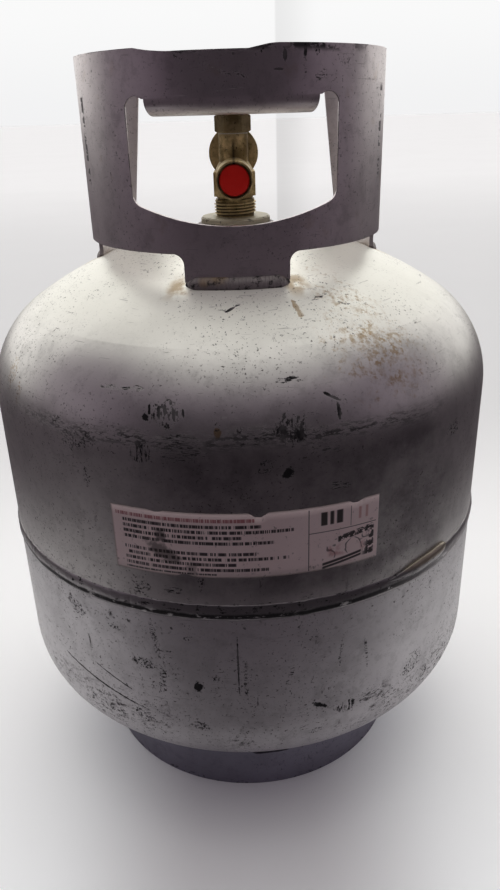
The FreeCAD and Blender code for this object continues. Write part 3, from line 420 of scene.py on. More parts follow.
def upper_chips(look):
    knuckle = look.within(look.add(look.z, look.drift(18.0, 3.0, 0.016)), KNUCKLE_LOW, KNUCKLE_HIGH, 0.004)
    along = look.patches(0.48, 0.53, 420.0, 6.0, 0.75, look.stretched((0.4, 0.4, 1.5)))
    where = look.patches(0.36, 0.48, 24.0, 3.0)
    front = look.facing(-46.0, 36.0, 0.3)
    band = look.times(knuckle, along, where, front, 0.85)
    return look.most(band, spots(look, [
        (-14.0, 298.0, 9.0, 6.5, 8.0, "strokes"),
        (-18.0, 296.0, 2.0, 2.2, 0.0, "solid"),
        (-12.5, 286.5, 13.0, 2.6, 3.0, "smear"),
        (-17.3, 299.5, 0.9, 3.2, 6.0, "solid"),
        (-15.4, 298.5, 0.9, 3.8, 10.0, "solid"),
        (-14.3, 300.0, 0.8, 2.8, 4.0, "solid"),
        (-12.6, 298.0, 1.0, 3.4, 12.0, "solid"),
        (-10.8, 299.0, 0.8, 2.6, 8.0, "solid"),
        (-11.5, 280.0, 15.0, 5.0, 0.0, "smear"),
        (-19.0, 279.0, 6.0, 6.0, 0.0, "strokes"),
        (4.0, 286.0, 12.0, 2.4, 4.0, "smear"),
        (9.0, 290.0, 10.0, 8.0, 0.0, "strokes"),
        (8.5, 289.0, 9.0, 5.5, 12.0, "grains"),
        (7.4, 290.0, 1.6, 4.4, 16.0, "solid"),
        (10.4, 288.5, 1.5, 4.8, -8.0, "solid"),
        (4.0, 272.5, 6.0, 3.4, 25.0, "grains"),
        (8.0, 268.0, 3.4, 3.2, 0.0, "solid"),
        (14.5, 279.0, 9.0, 3.0, -8.0, "smear"),
        (-0.5, 291.0, 2.6, 2.0, 0.0, "grains"),
        (-4.5, 293.0, 1.6, 3.2, 0.0, "grains"),
        (18.0, 296.0, 1.2, 5.0, 4.0, "solid"),
        (17.0, 303.0, 5.5, 0.8, -28.0, "solid"),
        (-33.0, 279.0, 14.0, 6.0, 12.0, "grains"),
        (-38.5, 287.0, 4.5, 2.4, 20.0, "grains"),
        (-31.5, 259.0, 2.8, 6.5, 8.0, "grains"),
        (-24.0, 308.0, 16.0, 1.1, 2.0, "smear"),
        (9.0, 312.0, 8.0, 1.4, 0.0, "smear"),
        (17.5, 257.0, 7.0, 2.4, -10.0, "smear"),
        (31.0, 337.0, 4.0, 0.9, -6.0, "grains"),
        (25.0, 341.0, 9.0, 0.7, 6.0, "smear"),
        (-2.0, 339.0, 7.0, 0.6, 14.0, "solid"),
        (-9.0, 206.0, 2.2, 8.0, 0.0, "grains"),
        (-21.5, 196.0, 6.0, 4.0, 30.0, "grains"),
        (-14.5, 198.0, 5.0, 3.0, 0.0, "smear"),
        (48.0, 268.0, 8.0, 5.0, 0.0, "grains"),
    ]))


def upper_stains(look):
    cloud = look.patches(0.38, 0.58, 70.0, 5.0, 0.7)
    grain = look.patches(0.44, 0.56, 330.0, 5.0, 0.7)
    tan = look.times(look.spot(31.0, 0.321, 0.036, 0.032, ragged=1.0, soft=0.8), cloud, grain, 0.75)
    drops = spots(look, [
        (16.0, 338.0, 2.6, 3.4, 20.0, "solid"),
        (-53.0, 292.0, 3.0, 7.0, 0.0, "grains"),
        (-58.0, 300.0, 6.0, 9.0, 0.0, "grains"),
        (-4.5, 290.0, 2.0, 3.0, 0.0, "solid"),
    ])
    radius = look.length(look.x, look.y)
    around = look.within(radius, COLLAR_RADIUS - 0.006, COLLAR_RADIUS + 0.010, 0.006)
    aside = look.size(look.bearing)
    near_leg = look.step(look.size(look.less(aside, math.radians(20.0))), 0.10, 0.03)
    side_leg = look.within(aside, math.radians(93.0), math.radians(128.0), 0.05)
    patchy = look.patches(0.36, 0.6, 120.0, 4.0)
    burnt = look.times(around, look.most(near_leg, side_leg), patchy, 0.75)
    return look.most(tan, look.times(drops, 0.8), burnt)


def front_dark_band(look):
    """The straight wall above the seam is darker, heaviest in front and to the right."""
    straight = look.within(look.z, WALL_LOW, WALL_HIGH, 0.012)
    ahead = look.facing(DARK_LEFT, DARK_RIGHT, 0.30)
    return look.times(look.add(0.10, look.times(ahead, 0.62)), straight)


def wall_foot(look):
    """Black crumbs of dirt lie just above the seam in front."""
    ahead = look.facing(-50.0, 36.0, 0.3)
    crumbs = look.patches(0.58, 0.63, 330.0, 6.0, 0.75, look.stretched((0.6, 0.6, 1.0)))
    return look.times(look.step(look.z, SEAM_HIGH + 0.007, SEAM_HIGH), crumbs, ahead)


def painted_highlight_top(look):
    """The dome's top, which faces the sky: its paint is painted paler there, a painted highlight for light
    from above, and made more matt.
    """
    return look.step(look.z, TOP_HIGHLIGHT_LOW, TOP_HIGHLIGHT_HIGH)


def busy_shoulder(look):
    """Knocks and grit gather where the shoulder turns into the wall."""
    turn = look.within(look.z, SHOULDER_LOW, SHOULDER_HIGH, 0.012)
    ahead = look.facing(-44.0, 28.0, 0.20)
    return look.times(turn, ahead, look.patches(0.36, 0.54, 26.0, 3.0))


def busy_belly(look):
    low = look.step(look.z, BELLY_HIGH, BELLY_LOW)
    left = look.facing(-26.0, -14.0, 0.08)
    return look.times(look.most(low, left), look.patches(0.36, 0.52, 30.0, 3.0))


def lower_chips(look):
    bottom = look.within(look.z, RUBBED_LOW, RUBBED_HIGH, 0.012)
    busy = look.patches(0.535, 0.585, 330.0, 6.0, 0.78, look.stretched((0.8, 0.8, 1.3)))
    wear_and_highlight = look.times(bottom, busy, look.patches(0.42, 0.56, 26.0, 2.0), 0.9)
    below_seam = look.within(look.z, SEAM_LOW - 0.012, SEAM_LOW, 0.004)
    bitten = look.times(below_seam, look.patches(0.60, 0.66, 240.0, 5.0, 0.7), 0.8)
    return look.most(wear_and_highlight, bitten, spots(look, [
        (-11.0, 132.0, 3.0, 3.6, 20.0, "solid"),
        (-22.5, 143.0, 9.0, 4.0, -12.0, "grains"),
        (-19.5, 160.0, 2.2, 14.0, 8.0, "grains"),
        (-18.5, 135.0, 2.6, 14.0, -6.0, "grains"),
        (-18.0, 155.0, 7.0, 1.0, 0.0, "grains"),
        (-36.5, 116.0, 37.0, 0.7, -13.0, "solid"),
        (-31.0, 124.0, 16.0, 0.5, -20.0, "solid"),
        (-24.0, 101.0, 10.0, 4.0, -20.0, "grains"),
        (-11.0, 102.0, 7.0, 3.0, 0.0, "grains"),
        (-2.5, 148.0, 0.55, 24.0, 0.0, "solid"),
        (-1.0, 137.0, 1.4, 16.0, 0.0, "grains"),
        (-7.0, 138.0, 2.2, 2.2, 0.0, "grains"),
        (-3.5, 152.0, 3.4, 1.2, 0.0, "grains"),
        (39.0, 116.0, 11.0, 7.0, 40.0, "grains"),
        (20.5, 107.0, 7.0, 4.0, 10.0, "strokes"),
        (14.5, 113.0, 6.0, 1.6, -30.0, "solid"),
        (14.0, 93.0, 5.0, 2.6, 20.0, "grains"),
        (27.0, 108.0, 12.0, 4.0, 0.0, "smear"),
        (8.0, 139.0, 1.6, 7.0, -20.0, "smear"),
        (13.0, 163.0, 2.6, 1.4, 0.0, "grains"),
        (19.0, 148.0, 1.2, 12.0, -6.0, "grains"),
        (25.0, 143.0, 1.0, 12.0, 6.0, "smear"),
        (-29.0, 163.0, 4.0, 2.0, 0.0, "grains"),
        (-12.5, 166.0, 3.0, 1.6, 20.0, "grains"),
        (-40.0, 166.0, 8.0, 5.0, -30.0, "grains"),
    ]))


def collar_chips(look):
    """The rim is knocked bare in its middle and right, with drips of wear below it."""
    rim = look.step(look.z, COLLAR_TOP - 0.0045, COLLAR_TOP - 0.0012)
    worn = look.patches(0.47, 0.56, 130.0, 4.0, 0.7, look.stretched((0.6, 0.6, 1.0)))
    front = look.facing(-24.0, 46.0, 0.14)
    scale = COLLAR_RADIUS / SHELL_RADIUS
    knocks = [
        (-17.0, 458.0, 4.0, 2.0, -20.0, "grains"),
        (-14.0, 459.5, 9.0, 1.4, 0.0, "smear"),
        (1.0, 457.5, 1.4, 0.9, 10.0, "grains"),
        (9.0, 458.5, 3.0, 2.0, 30.0, "grains"),
        (17.0, 457.0, 1.2, 3.4, 10.0, "solid"),
        (24.0, 458.5, 1.0, 3.0, 0.0, "solid"),
        (28.5, 458.0, 1.6, 2.4, 0.0, "grains"),
        (24.0, 452.0, 0.9, 6.0, 4.0, "smear"),
        (3.0, 448.5, 4.4, 1.4, -6.0, "grains"),
        (-4.0, 451.0, 8.0, 0.8, -14.0, "smear"),
        (15.0, 450.5, 2.6, 0.7, 0.0, "solid"),
        (-33.0, 431.0, 3.6, 2.4, 0.0, "smear"),
        (30.0, 448.0, 4.0, 3.0, 0.0, "smear"),
    ]
    marks = spots(look, [(bearing, height, width / scale, *rest) for bearing, height, width, *rest in knocks])
    left, right = math.radians(STAMPED_LEFT), math.radians(STAMPED_RIGHT)
    pressed = look.within(look.size(look.bearing), left, right, 0.006)
    dashes = look.patches(0.50, 0.55, 330.0, 1.0, 0.5, look.stretched((0.2, 0.2, 1.0)))
    rows = look.times(pressed, dashes, look.within(look.z, STAMPED_LOW, STAMPED_HIGH, 0.002), 0.7)
    return look.most(look.times(rim, worn, front, 0.9), marks, rows)


def collar_stains(look):
    blotch = look.patches(0.60, 0.75, 55.0, 4.0, 0.6)
    return look.times(blotch, 0.22)


def foot_chips(look):
    low = look.step(look.z, 0.005, 0.001)
    return look.times(low, look.patches(0.56, 0.62, 260.0, 5.0, 0.7), 0.85)


def weld_paint():
    """Paint over a bead: burnt in places, with dark patches of dirt."""
    look = Look("weld_paint")
    colour = look.mix(look.noise(60.0, 4.0), rgb(0.17, 0.15, 0.15), rgb(0.44, 0.41, 0.40))
    colour = look.over(colour, TAN, look.patches(0.52, 0.68, 45.0, 3.0), 0.6)
    dark = look.patches(0.50, 0.62, 230.0, 5.0, 0.7)
    colour = look.over(colour, CHIP, dark, 0.85)
    normal = look.bump(look.noise(900.0, 3.0), 0.35, 0.0003)
    return look.finish(colour, look.add(0.42, look.times(dark, 0.3)), 0.4, normal)


def seam_paint():
    """The girth bead: a ragged black line over a thin lip with a painted highlight in patches, under the
    wall's own paint.
    """
    look = Look("seam_paint")
    colour = look.mix(look.noise(50.0, 4.0), rgb(0.42, 0.41, 0.41), rgb(0.62, 0.61, 0.61))
    # The bead's upper part is darker in front, like the straight wall above it.
    ahead = look.facing(DARK_LEFT, DARK_RIGHT, 0.30)
    upper = look.step(look.z, SEAM_LOW + 0.0034, SEAM_LOW + 0.0050)
    darkening = look.times(look.add(0.12, look.times(ahead, 0.55)), upper)
    colour = look.over(colour, rgb(0.10, 0.095, 0.10), darkening)
    drift = look.drift(26.0, 4.0, 0.004)
    level = look.add(look.z, drift)
    line = look.within(level, SEAM_LOW + 0.0013, SEAM_LOW + 0.0048, 0.0009)
    patchy = look.patches(0.36, 0.44, 240.0, 6.0, 0.75, look.stretched((0.40, 0.40, 1.0)))
    front = look.facing(-58.0, 40.0, 0.35)
    flecks = look.patches(0.56, 0.61, 340.0, 6.0, 0.75, look.stretched((0.5, 0.5, 1.0)))
    dark = look.most(look.times(line, patchy, look.add(0.25, look.times(front, 0.75))),
                     look.times(flecks, upper, front))
    colour = look.over(colour, CHIP, dark)
    # Painted highlight: a thin pale line along the bead's lower lip, broken into patches.
    lip = look.within(look.add(look.z, look.times(drift, 0.3)), SEAM_LOW + 0.0003, SEAM_LOW + 0.0014, 0.0005)
    wear_and_highlight = look.patches(0.38, 0.52, 130.0, 4.0, 0.6)
    colour = look.over(colour, rgb(0.68, 0.67, 0.66), lip, wear_and_highlight, 0.55)
    tan = look.times(look.facing(34.0, 50.0, 0.03), look.step(look.z, SEAM_HIGH - 0.0012, SEAM_HIGH + 0.0004))
    colour = look.over(colour, rgb(0.42, 0.37, 0.27), tan, 0.6)
    normal = look.bump(look.noise(500.0, 4.0), 0.35, 0.0004)
    sheen = look.add(0.32, look.times(dark, 0.35))
    return look.finish(colour, sheen, look.times(look.invert(dark), 0.7), normal)


def bung_paint():
    look = Look("bung_paint")
    colour = look.mix(look.noise(120.0, 5.0), rgb(0.36, 0.33, 0.24), rgb(0.74, 0.70, 0.57))
    dirty = look.patches(0.58, 0.68, 300.0, 4.0)
    colour = look.over(colour, DIRT, dirty, 0.7)
    normal = look.bump(look.noise(400.0, 4.0), 0.3, 0.0003, look.rounded(0.0005))
    return look.finish(colour, look.add(0.45, look.times(dirty, 0.3)), 0.15, normal)


def aged_brass():
    """Forged brass gone olive brown, dark in the hollows and rubbed bright on its corners. Painted shade
    darkens the valve's top and a line down the column's front, and painted light makes the outlet boss behind
    paler.
    """
    look = Look("valve_brass")
    patina = look.patches(0.36, 0.66, 85.0, 5.0, 0.6)
    colour = look.mix(patina, rgb(0.30, 0.22, 0.09), rgb(0.84, 0.68, 0.38))
    # Painted shade: from the column's top up, the valve is painted darker.
    bonnet_shade = look.step(look.z, BONNET_SHADE_LOW, BONNET_SHADE_HIGH)
    colour = look.over(colour, rgb(0.040, 0.026, 0.008), bonnet_shade, 0.60)
    # Painted light: the outlet boss behind the column is painted paler, for the light from behind on it.
    behind = look.step(look.y, OUTLET_START, OUTLET_END)
    colour = look.over(colour, rgb(0.92, 0.78, 0.48), behind, 0.80)
    # Painted shade: a dark line down the middle of the column's front, between its lit sides.
    column_shade = look.within(look.x, -0.0007, 0.0006, 0.0008)
    column = look.within(look.z, COLUMN_LOW, COLUMN_HIGH, 0.002)
    column_front = look.times(column, look.step(look.y, -0.006, -0.008))
    colour = look.over(colour, rgb(0.02, 0.012, 0.003), column_shade, column_front, 0.8)
    away = look.length(look.x, look.y)
    threaded = look.within(look.z, THREADED_LOW, THREADED_HIGH, 0.0006)
    crest = look.times(threaded, look.step(away, THREAD_MIDDLE, THREAD_CREST))
    colour = look.over(colour, rgb(0.80, 0.68, 0.42), crest, 0.6)
    root = look.times(threaded, look.step(away, THREAD_MIDDLE, THREAD_ROOT))
    colour = look.over(colour, rgb(0.020, 0.014, 0.005), root, 0.8)
    # Real wear: the brass corners are rubbed bright in patches.
    wear_and_highlight = look.times(look.worn_edge(0.0007), look.patches(0.38, 0.55, 160.0, 3.0))
    colour = look.over(colour, rgb(0.72, 0.60, 0.38), wear_and_highlight, 0.75)
    grime = look.patches(0.56, 0.68, 420.0, 5.0, 0.7)
    colour = look.over(colour, rgb(0.018, 0.013, 0.005), grime, 0.7)
    normal = look.bump(look.noise(700.0, 4.0, 0.65), 0.45, 0.0004, look.rounded(0.0005))
    return look.finish(colour, look.add(0.38, look.times(grime, 0.3), look.times(patina, 0.1)), 0.45, normal)


def cap_plastic():
    look = Look("cap_red")
    colour = look.mix(look.noise(160.0, 4.0), rgb(0.80, 0.012, 0.008), rgb(0.92, 0.035, 0.024))
    dust = look.patches(0.60, 0.72, 600.0, 4.0, 0.7)
    colour = look.over(colour, rgb(0.75, 0.20, 0.16), dust, 0.35)
    # Painted highlight: the cap's edges are painted a lighter red.
    edge = look.worn_edge(0.0008)
    colour = look.over(colour, rgb(0.95, 0.16, 0.13), edge, 0.5)
    normal = look.bump(look.noise(900.0, 3.0), 0.15, 0.0002, look.rounded(0.0004))
    return look.finish(colour, look.add(0.38, look.times(dust, 0.25)), 0.0, normal)


def plain_finish(name, dark, light, roughness, metallic, grain, bump):
    """Small hidden parts: two tones of noise, a grain and a little wear on the corners."""
    look = Look(name)
    colour = look.mix(look.noise(grain * 0.25, 4.0), rgb(*dark), rgb(*light))
    scuffed = look.times(look.worn_edge(0.0006), look.patches(0.42, 0.60, grain, 3.0))
    bright = rgb(*(min(1.0, 2.2 * part + 0.03) for part in light))
    colour = look.over(colour, bright, scuffed, 0.5)
    normal = look.bump(look.noise(grain, 4.0), bump, 0.0003, look.rounded(0.0005))
    sheen = look.add(roughness, look.times(look.noise(grain * 0.5), 0.15))
    return look.finish(colour, sheen, metallic, normal)


def label_print():
    """Dirty film with generic bars where rows of print, a header, a large mark and a picture would be."""
    look = Look("label_film")
    half = math.radians(LABEL_HALF_ANGLE)
    across = look.math("DIVIDE", look.add(look.bearing, half), 2.0 * half)
    up = look.math("DIVIDE", look.less(look.z, LABEL_LOW), LABEL_HIGH - LABEL_LOW)

    def area(left, right, bottom, top, soft=0.003):
        return look.times(look.within(across, left, right, soft), look.within(up, bottom, top, 3.0 * soft))

    def bars(count, left, right, bottom, top, thickness):
        """Rows of word-like bars; each row ends at its own place."""
        row = look.times(up, float(count))
        number = look.math("FLOOR", row)
        line = look.within(look.math("FRACT", row), 0.5 - thickness, 0.5 + thickness, 0.06)
        spread = look.nodes.new("ShaderNodeCombineXYZ")
        look.feed(spread.inputs[0], across)
        look.feed(spread.inputs[1], look.times(number, 7.31))
        letters = look.patches(0.41, 0.49, 210.0, 2.0, 0.6, spread.outputs[0])
        words = look.patches(0.33, 0.37, 34.0, 1.0, 0.5, spread.outputs[0])
        ends = look.add(left + 0.52 * (right - left), look.times(look.math("FRACT", look.times(
            number, 0.618)), 0.46 * (right - left)))
        short = look.step(look.less(ends, across), 0.0, 0.004)
        return look.times(line, letters, words, short, area(left, right, bottom, top))

    paper = look.mix(look.noise(36.0, 5.0), rgb(0.88, 0.74, 0.71), rgb(1.0, 0.90, 0.86))
    header = look.times(bars(13, 0.015, 0.60, 0.845, 0.925, 0.34), 0.75)
    colour = look.over(paper, rgb(0.36, 0.055, 0.075), header)
    ink = look.most(
        bars(12, 0.045, 0.70, 0.50, 0.83, 0.29),
        bars(12, 0.045, 0.71, 0.04, 0.42, 0.29),
        area(0.7215, 0.7245, 0.02, 0.96, 0.0008),
        area(0.724, 0.99, 0.595, 0.605, 0.0012),
        area(0.8835, 0.8855, 0.62, 0.92, 0.0008),
        area(0.768, 0.792, 0.70, 0.90), area(0.803, 0.817, 0.70, 0.90), area(0.828, 0.852, 0.70, 0.90),
    )
    slope = look.less(up, look.times(look.less(across, 0.83), 0.6))
    hatch = look.patches(0.42, 0.50, 420.0, 3.0)
    beam = look.times(look.within(across, 0.835, 0.975, 0.003), look.within(slope, 0.40, 0.49, 0.01), hatch)
    wedge = look.times(look.step(look.add(across, look.times(up, -0.06)), 0.915, 0.945),
                       look.within(across, 0.90, 0.982, 0.003), look.within(up, 0.10, 0.56, 0.01), hatch)
    ground = look.times(look.within(across, 0.775, 0.93, 0.003), look.within(slope, 0.05, 0.14, 0.01))
    stripe = look.invert(look.within(slope, 0.085, 0.10, 0.006))
    outline = look.size(look.less(look.noise(110.0, 1.0), 0.5))
    sketch = look.times(look.step(outline, 0.030, 0.012), look.within(across, 0.775, 0.955, 0.004),
                        look.within(slope, 0.17, 0.38, 0.02), 0.75)
    ink = look.most(ink, beam, wedge, look.times(ground, stripe), sketch)
    colour = look.over(colour, rgb(0.012, 0.010, 0.012), ink, 0.93)
    pale = look.times(area(0.80, 0.94, 0.20, 0.36, 0.012), look.patches(0.42, 0.55, 90.0, 3.0), 0.5)
    colour = look.over(colour, rgb(0.45, 0.12, 0.13), pale)
    red = look.times(look.most(area(0.916, 0.926, 0.70, 0.88), area(0.944, 0.954, 0.70, 0.88)), 0.5)
    colour = look.over(colour, rgb(0.50, 0.16, 0.14), red)

    smudge = look.most(
        look.spot(-16.0, 0.2215, 0.0125, 0.0055, -30.0, 0.5, 0.5),
        look.spot(-16.5, 0.2315, 0.004, 0.004, 0.0, 0.5, 0.5),
        look.times(look.spot(-10.5, 0.2125, 0.004, 0.007, 0.0, 0.7, 0.6), 0.6),
    )
    grit = look.times(look.patches(0.60, 0.70, 260.0, 5.0, 0.7), 0.6)
    dirt = look.times(look.most(look.times(smudge, 0.8), grit), 0.85)
    colour = look.over(colour, rgb(0.05, 0.042, 0.04), dirt)
    rim = look.most(look.step(up, 0.035, 0.0), look.step(up, 0.965, 1.0), look.step(across, 0.008, 0.0))
    colour = look.over(colour, rgb(0.10, 0.08, 0.075), rim, 0.55)
    normal = look.bump(look.noise(260.0, 4.0), 0.25, 0.0002)
    return look.finish(colour, look.add(0.42, look.times(look.noise(90.0, 3.0), 0.2)), 0.0, normal)


# ---------------------------------------------------------------- meshes
def on_bearing(bearing, radius, height):
    angle = math.radians(bearing)
    return Vector((radius * math.sin(angle), -radius * math.cos(angle), height))


def add_piece(name, points, faces, material, body):
    mesh = bpy.data.meshes.new(name)
    mesh.from_pydata(points, [], faces)
    mesh.validate()
    mesh.shade_smooth()
    mesh.materials.append(material)
    piece = bpy.data.objects.new(name, mesh)
    bpy.context.scene.collection.objects.link(piece)
    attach(piece, body)
    return piece


def sweep(name, sections, material, body):
    """A closed skin over a row of closed sections that all have the same number of points."""
    count = len(sections[0])
    points = [point for section in sections for point in section]
    faces = []
    for row in range(len(sections) - 1):
        for number in range(count):
            here, following = row * count + number, row * count + (number + 1) % count
            faces.append((here, following, following + count, here + count))
    if (sections[0][0] - sections[-1][0]).length > 1e-7:
        faces.append(tuple(reversed(range(count))))
        faces.append(tuple(range(len(points) - count, len(points))))
    return add_piece(name, points, faces, material, body)


def ripple(distance, spacing, height, seed):
    """Uneven half-moon ripples along a weld bead."""
    wander = 0.5 * noise.noise(Vector((distance * 180.0, seed, 0.0)))
    wave = abs(math.sin(math.pi * (distance / spacing + wander)))
    swell = noise.noise(Vector((distance * 70.0, seed, 5.0)))
    return height * (wave - 0.5 + 0.9 * swell)


def skin_of(node):
    """A ray-casting tree of a CAD node."""
    mesh = frame["nodes"][node].data
    corners = [vertex.co.copy() for vertex in mesh.vertices]
    return BVHTree.FromPolygons(corners, [tuple(polygon.vertices) for polygon in mesh.polygons])


UPPER_SKIN, LOWER_SKIN = skin_of("upper_shell"), skin_of("lower_shell")
CLEAR_BEARING = 37.0


def dome_height(radius):
    """Height of the upper dome's outside at a radius."""
    return UPPER_SKIN.ray_cast(on_bearing(CLEAR_BEARING, radius, 1.0), Vector((0, 0, -1)))[0].z


def belly_height(radius):
    """Height of the lower dome's outside at a radius."""
    return LOWER_SKIN.ray_cast(on_bearing(CLEAR_BEARING, radius, -1.0), Vector((0, 0, 1)))[0].z


def fillet_bead(name, node, first, last, wall, leg, surface, side, material, seed):
    """A rippled fillet weld in the corner between an upright wall and a dome. side is 1 above the dome."""
    steps = max(12, int(math.radians(last - first) * wall / BEAD_STEP))
    ring = last - first >= 360.0
    sunk, bite = 0.3 * MM, 0.1 * MM
    corner = Vector((wall - sunk, surface(wall) - side * sunk))
    on_wall = Vector((wall - bite, surface(wall) + side * leg))
    on_dome = Vector((wall + leg, surface(wall + leg) - side * bite))
    out = Vector((1.0, side)).normalized()
    sections = []
    for step in range(steps + 1):
        share = step / steps
        bearing = first + (last - first) * share
        distance = math.radians(bearing - first) * wall
        ends = 1.0 if ring else max(0.03, min(1.0, 9.0 * share, 9.0 * (1.0 - share)) ** 0.5)
        face = []
        for number in range(9):
            down = number / 8
            swell = 0.24 * leg + ripple(distance, RIPPLE_SPACING, RIPPLE_HEIGHT, seed)
            bulge = swell * math.sin(math.pi * down) * ends
            spot = on_wall.lerp(on_dome, down) * ends + corner * (1.0 - ends) + out * bulge
            face.append(on_bearing(bearing, spot.x, spot.y))
        sections.append([on_bearing(bearing, corner.x, corner.y)] + face)
    if ring:
        sections[-1] = sections[0]
    bead = sweep(name, sections, material, "cylinder")
    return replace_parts(bead, node)


def girth_bead(material):
    """The seam's bead all round, a little uneven, over the groove between the two halves."""
    sections = []
    steps, ripples = 1440, 460
    for step in range(steps + 1):
        turn = step % steps
        bearing = 360.0 * turn / steps
        angle = math.radians(bearing)
        around = Vector((math.cos(angle), math.sin(angle), 0.0))
        swell = noise.noise(around * 9.0) * 0.28 + noise.noise(around * 55.0) * 0.16
        wave = 0.16 * abs(math.sin(math.pi * turn * ripples / steps))
        low = SEAM_LOW + 0.0003 * noise.noise(around * 30.0 + Vector((0, 0, 3)))
        high = SEAM_HIGH + 0.0004 * noise.noise(around * 26.0 + Vector((0, 0, 9)))
        section = [on_bearing(bearing, SHELL_RADIUS - 0.4 * MM, height) for height in (high, low)]
        for number in range(11):
            up = number / 10
            crown = (1.05 + swell + wave) * MM * math.sin(math.pi * up) ** 0.7
            section.append(on_bearing(bearing, SHELL_RADIUS - 0.1 * MM + crown, low + (high - low) * up))
        sections.append(section)
    bead = sweep("seam_bead", sections, material, "cylinder")
    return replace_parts(bead, "seam_weld")


def bead_overlap(material):
    """Where the girth weld starts and ends, its last run lies over the first and stops in a round lip."""
    sections = []
    steps, corners = 90, 14
    rise, half_height = 0.0021, 0.0042
    for step in range(steps + 1):
        share = step / steps
        bearing = OVERLAP_FIRST + (OVERLAP_LAST - OVERLAP_FIRST) * share
        nose = max(0.0, (share - 0.82) / 0.18)
        grow = min(1.0, 0.06 + 2.2 * share) * max(0.02, 1.0 - nose * nose) ** 0.5
        middle = SEAM_HIGH - 0.0026 + 0.0030 * share
        section = []
        for number in range(corners):
            angle = 2.0 * math.pi * number / corners
            swell = 1.0 + 0.10 * noise.noise(Vector((bearing * 0.9, angle, 2.0)))
            radius = SHELL_RADIUS + 0.0006 + rise * grow * swell * math.cos(angle)
            section.append(on_bearing(bearing, radius, middle + half_height * grow * swell * math.sin(angle)))
        sections.append(section)
    return sweep("seam_bead_end", sections, material, "cylinder")


def thread(name, radius_at, start, end, pitch, depth, hand, inward, place, material):
    """A helical ridge about an axis that place puts in the row frame; it fades out at both ends."""
    per_turn = 64
    steps = int((end - start) / pitch * per_turn)
    profile = [(-0.46, -0.15), (-0.10, 1.0), (0.10, 1.0), (0.46, -0.15)]
    sections = []
    for step in range(steps + 1):
        angle = hand * 2.0 * math.pi * step / per_turn
        height = start + pitch * step / per_turn
        fade = min(1.0, step / (0.3 * per_turn), (steps - step) / (0.3 * per_turn))
        section = []
        for offset, rise in profile:
            level = height + offset * pitch
            reach = depth * rise * max(fade, 0.05)
            radius = radius_at(level) + (-reach if inward else reach)
            section.append(place @ Vector((radius * math.cos(angle), radius * math.sin(angle), level)))
        sections.append(section)
    return sweep(name, sections, material, "cylinder")


def spring_coil(material):
    """The relief spring as a wound wire."""
    low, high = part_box("relief_spring")
    wire = 0.6 * MM
    mean = (high.x - low.x) / 2 - wire
    turns, per_turn = 5.0, 40
    steps = int(turns * per_turn)
    sections = []
    for step in range(steps + 1):
        angle = 2.0 * math.pi * turns * step / steps
        along = high.y - wire - (high.y - low.y - 2.0 * wire) * step / steps
        outward = Vector((math.cos(angle), 0.0, math.sin(angle)))
        centre = outward * mean + Vector((0.0, along, RELIEF_HEIGHT))
        section = []
        for number in range(10):
            turn = 2.0 * math.pi * number / 10
            section.append(centre + outward * (wire * math.cos(turn)) + Vector((0, wire * math.sin(turn), 0)))
        sections.append(section)
    coil = sweep("relief_coil", sections, material, "cylinder")
    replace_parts(coil, "relief_spring")
    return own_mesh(coil)


def tear(bearing, seed):
    """How far the label's edge is worn back at a bearing, in metres."""
    fine = abs(noise.noise(Vector((bearing * 0.9, seed, 0.0))))
    bite = max(0.0, noise.noise(Vector((bearing * 0.21, seed, 4.0))) - 0.18)
    return fine * 0.5 * MM + bite * 5.0 * MM


def label_sheet(material):
    """Thin film wrapped round the body, its edges nicked and its top torn."""
    inner = SHELL_RADIUS + FILM_GAP
    outer = inner + FILM_THICKNESS
    columns = 400
    sections = []
    for column in range(columns + 1):
        share = column / columns
        bearing = LABEL_HALF_ANGLE * (2.0 * share - 1.0)
        top = LABEL_HIGH - tear(bearing, 1.0)
        bottom = LABEL_LOW + 0.6 * tear(bearing, 8.0)
        section = [on_bearing(bearing, inner, top), on_bearing(bearing, inner, bottom)]
        for number in range(9):
            height = bottom + (top - bottom) * number / 8
            ruffle = 0.04 * MM * noise.noise(Vector((bearing * 0.8, height * 300.0, 2.0)))
            section.append(on_bearing(bearing, outer + ruffle, height))
        sections.append(section)
    sheet = sweep("label_sheet", sections, material, "cylinder")
    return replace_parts(sheet, "info_label")


def forging_line(material):
    """The die's flash line stands a little proud down the sides of the valve's column."""
    for side, name in ((1.0, "forging_line_right"), (-1.0, "forging_line_left")):
        sections = []
        for step in range(25):
            height = FLASH_LOW + FLASH_LENGTH * step / 24
            wobble = 0.12 * MM * noise.noise(Vector((height * 900.0, side, 0.0)))
            width, rise = 0.45 * MM, 0.35 * MM + wobble
            root, crest = COLUMN_RADIUS - 0.2 * MM, COLUMN_RADIUS + rise
            corners = [(root, -width), (crest, -0.4 * width), (crest, 0.4 * width), (root, width)]
            sections.append([Vector((side * out, along, height)) for out, along in corners])
        sweep(name, sections, material, "cylinder")


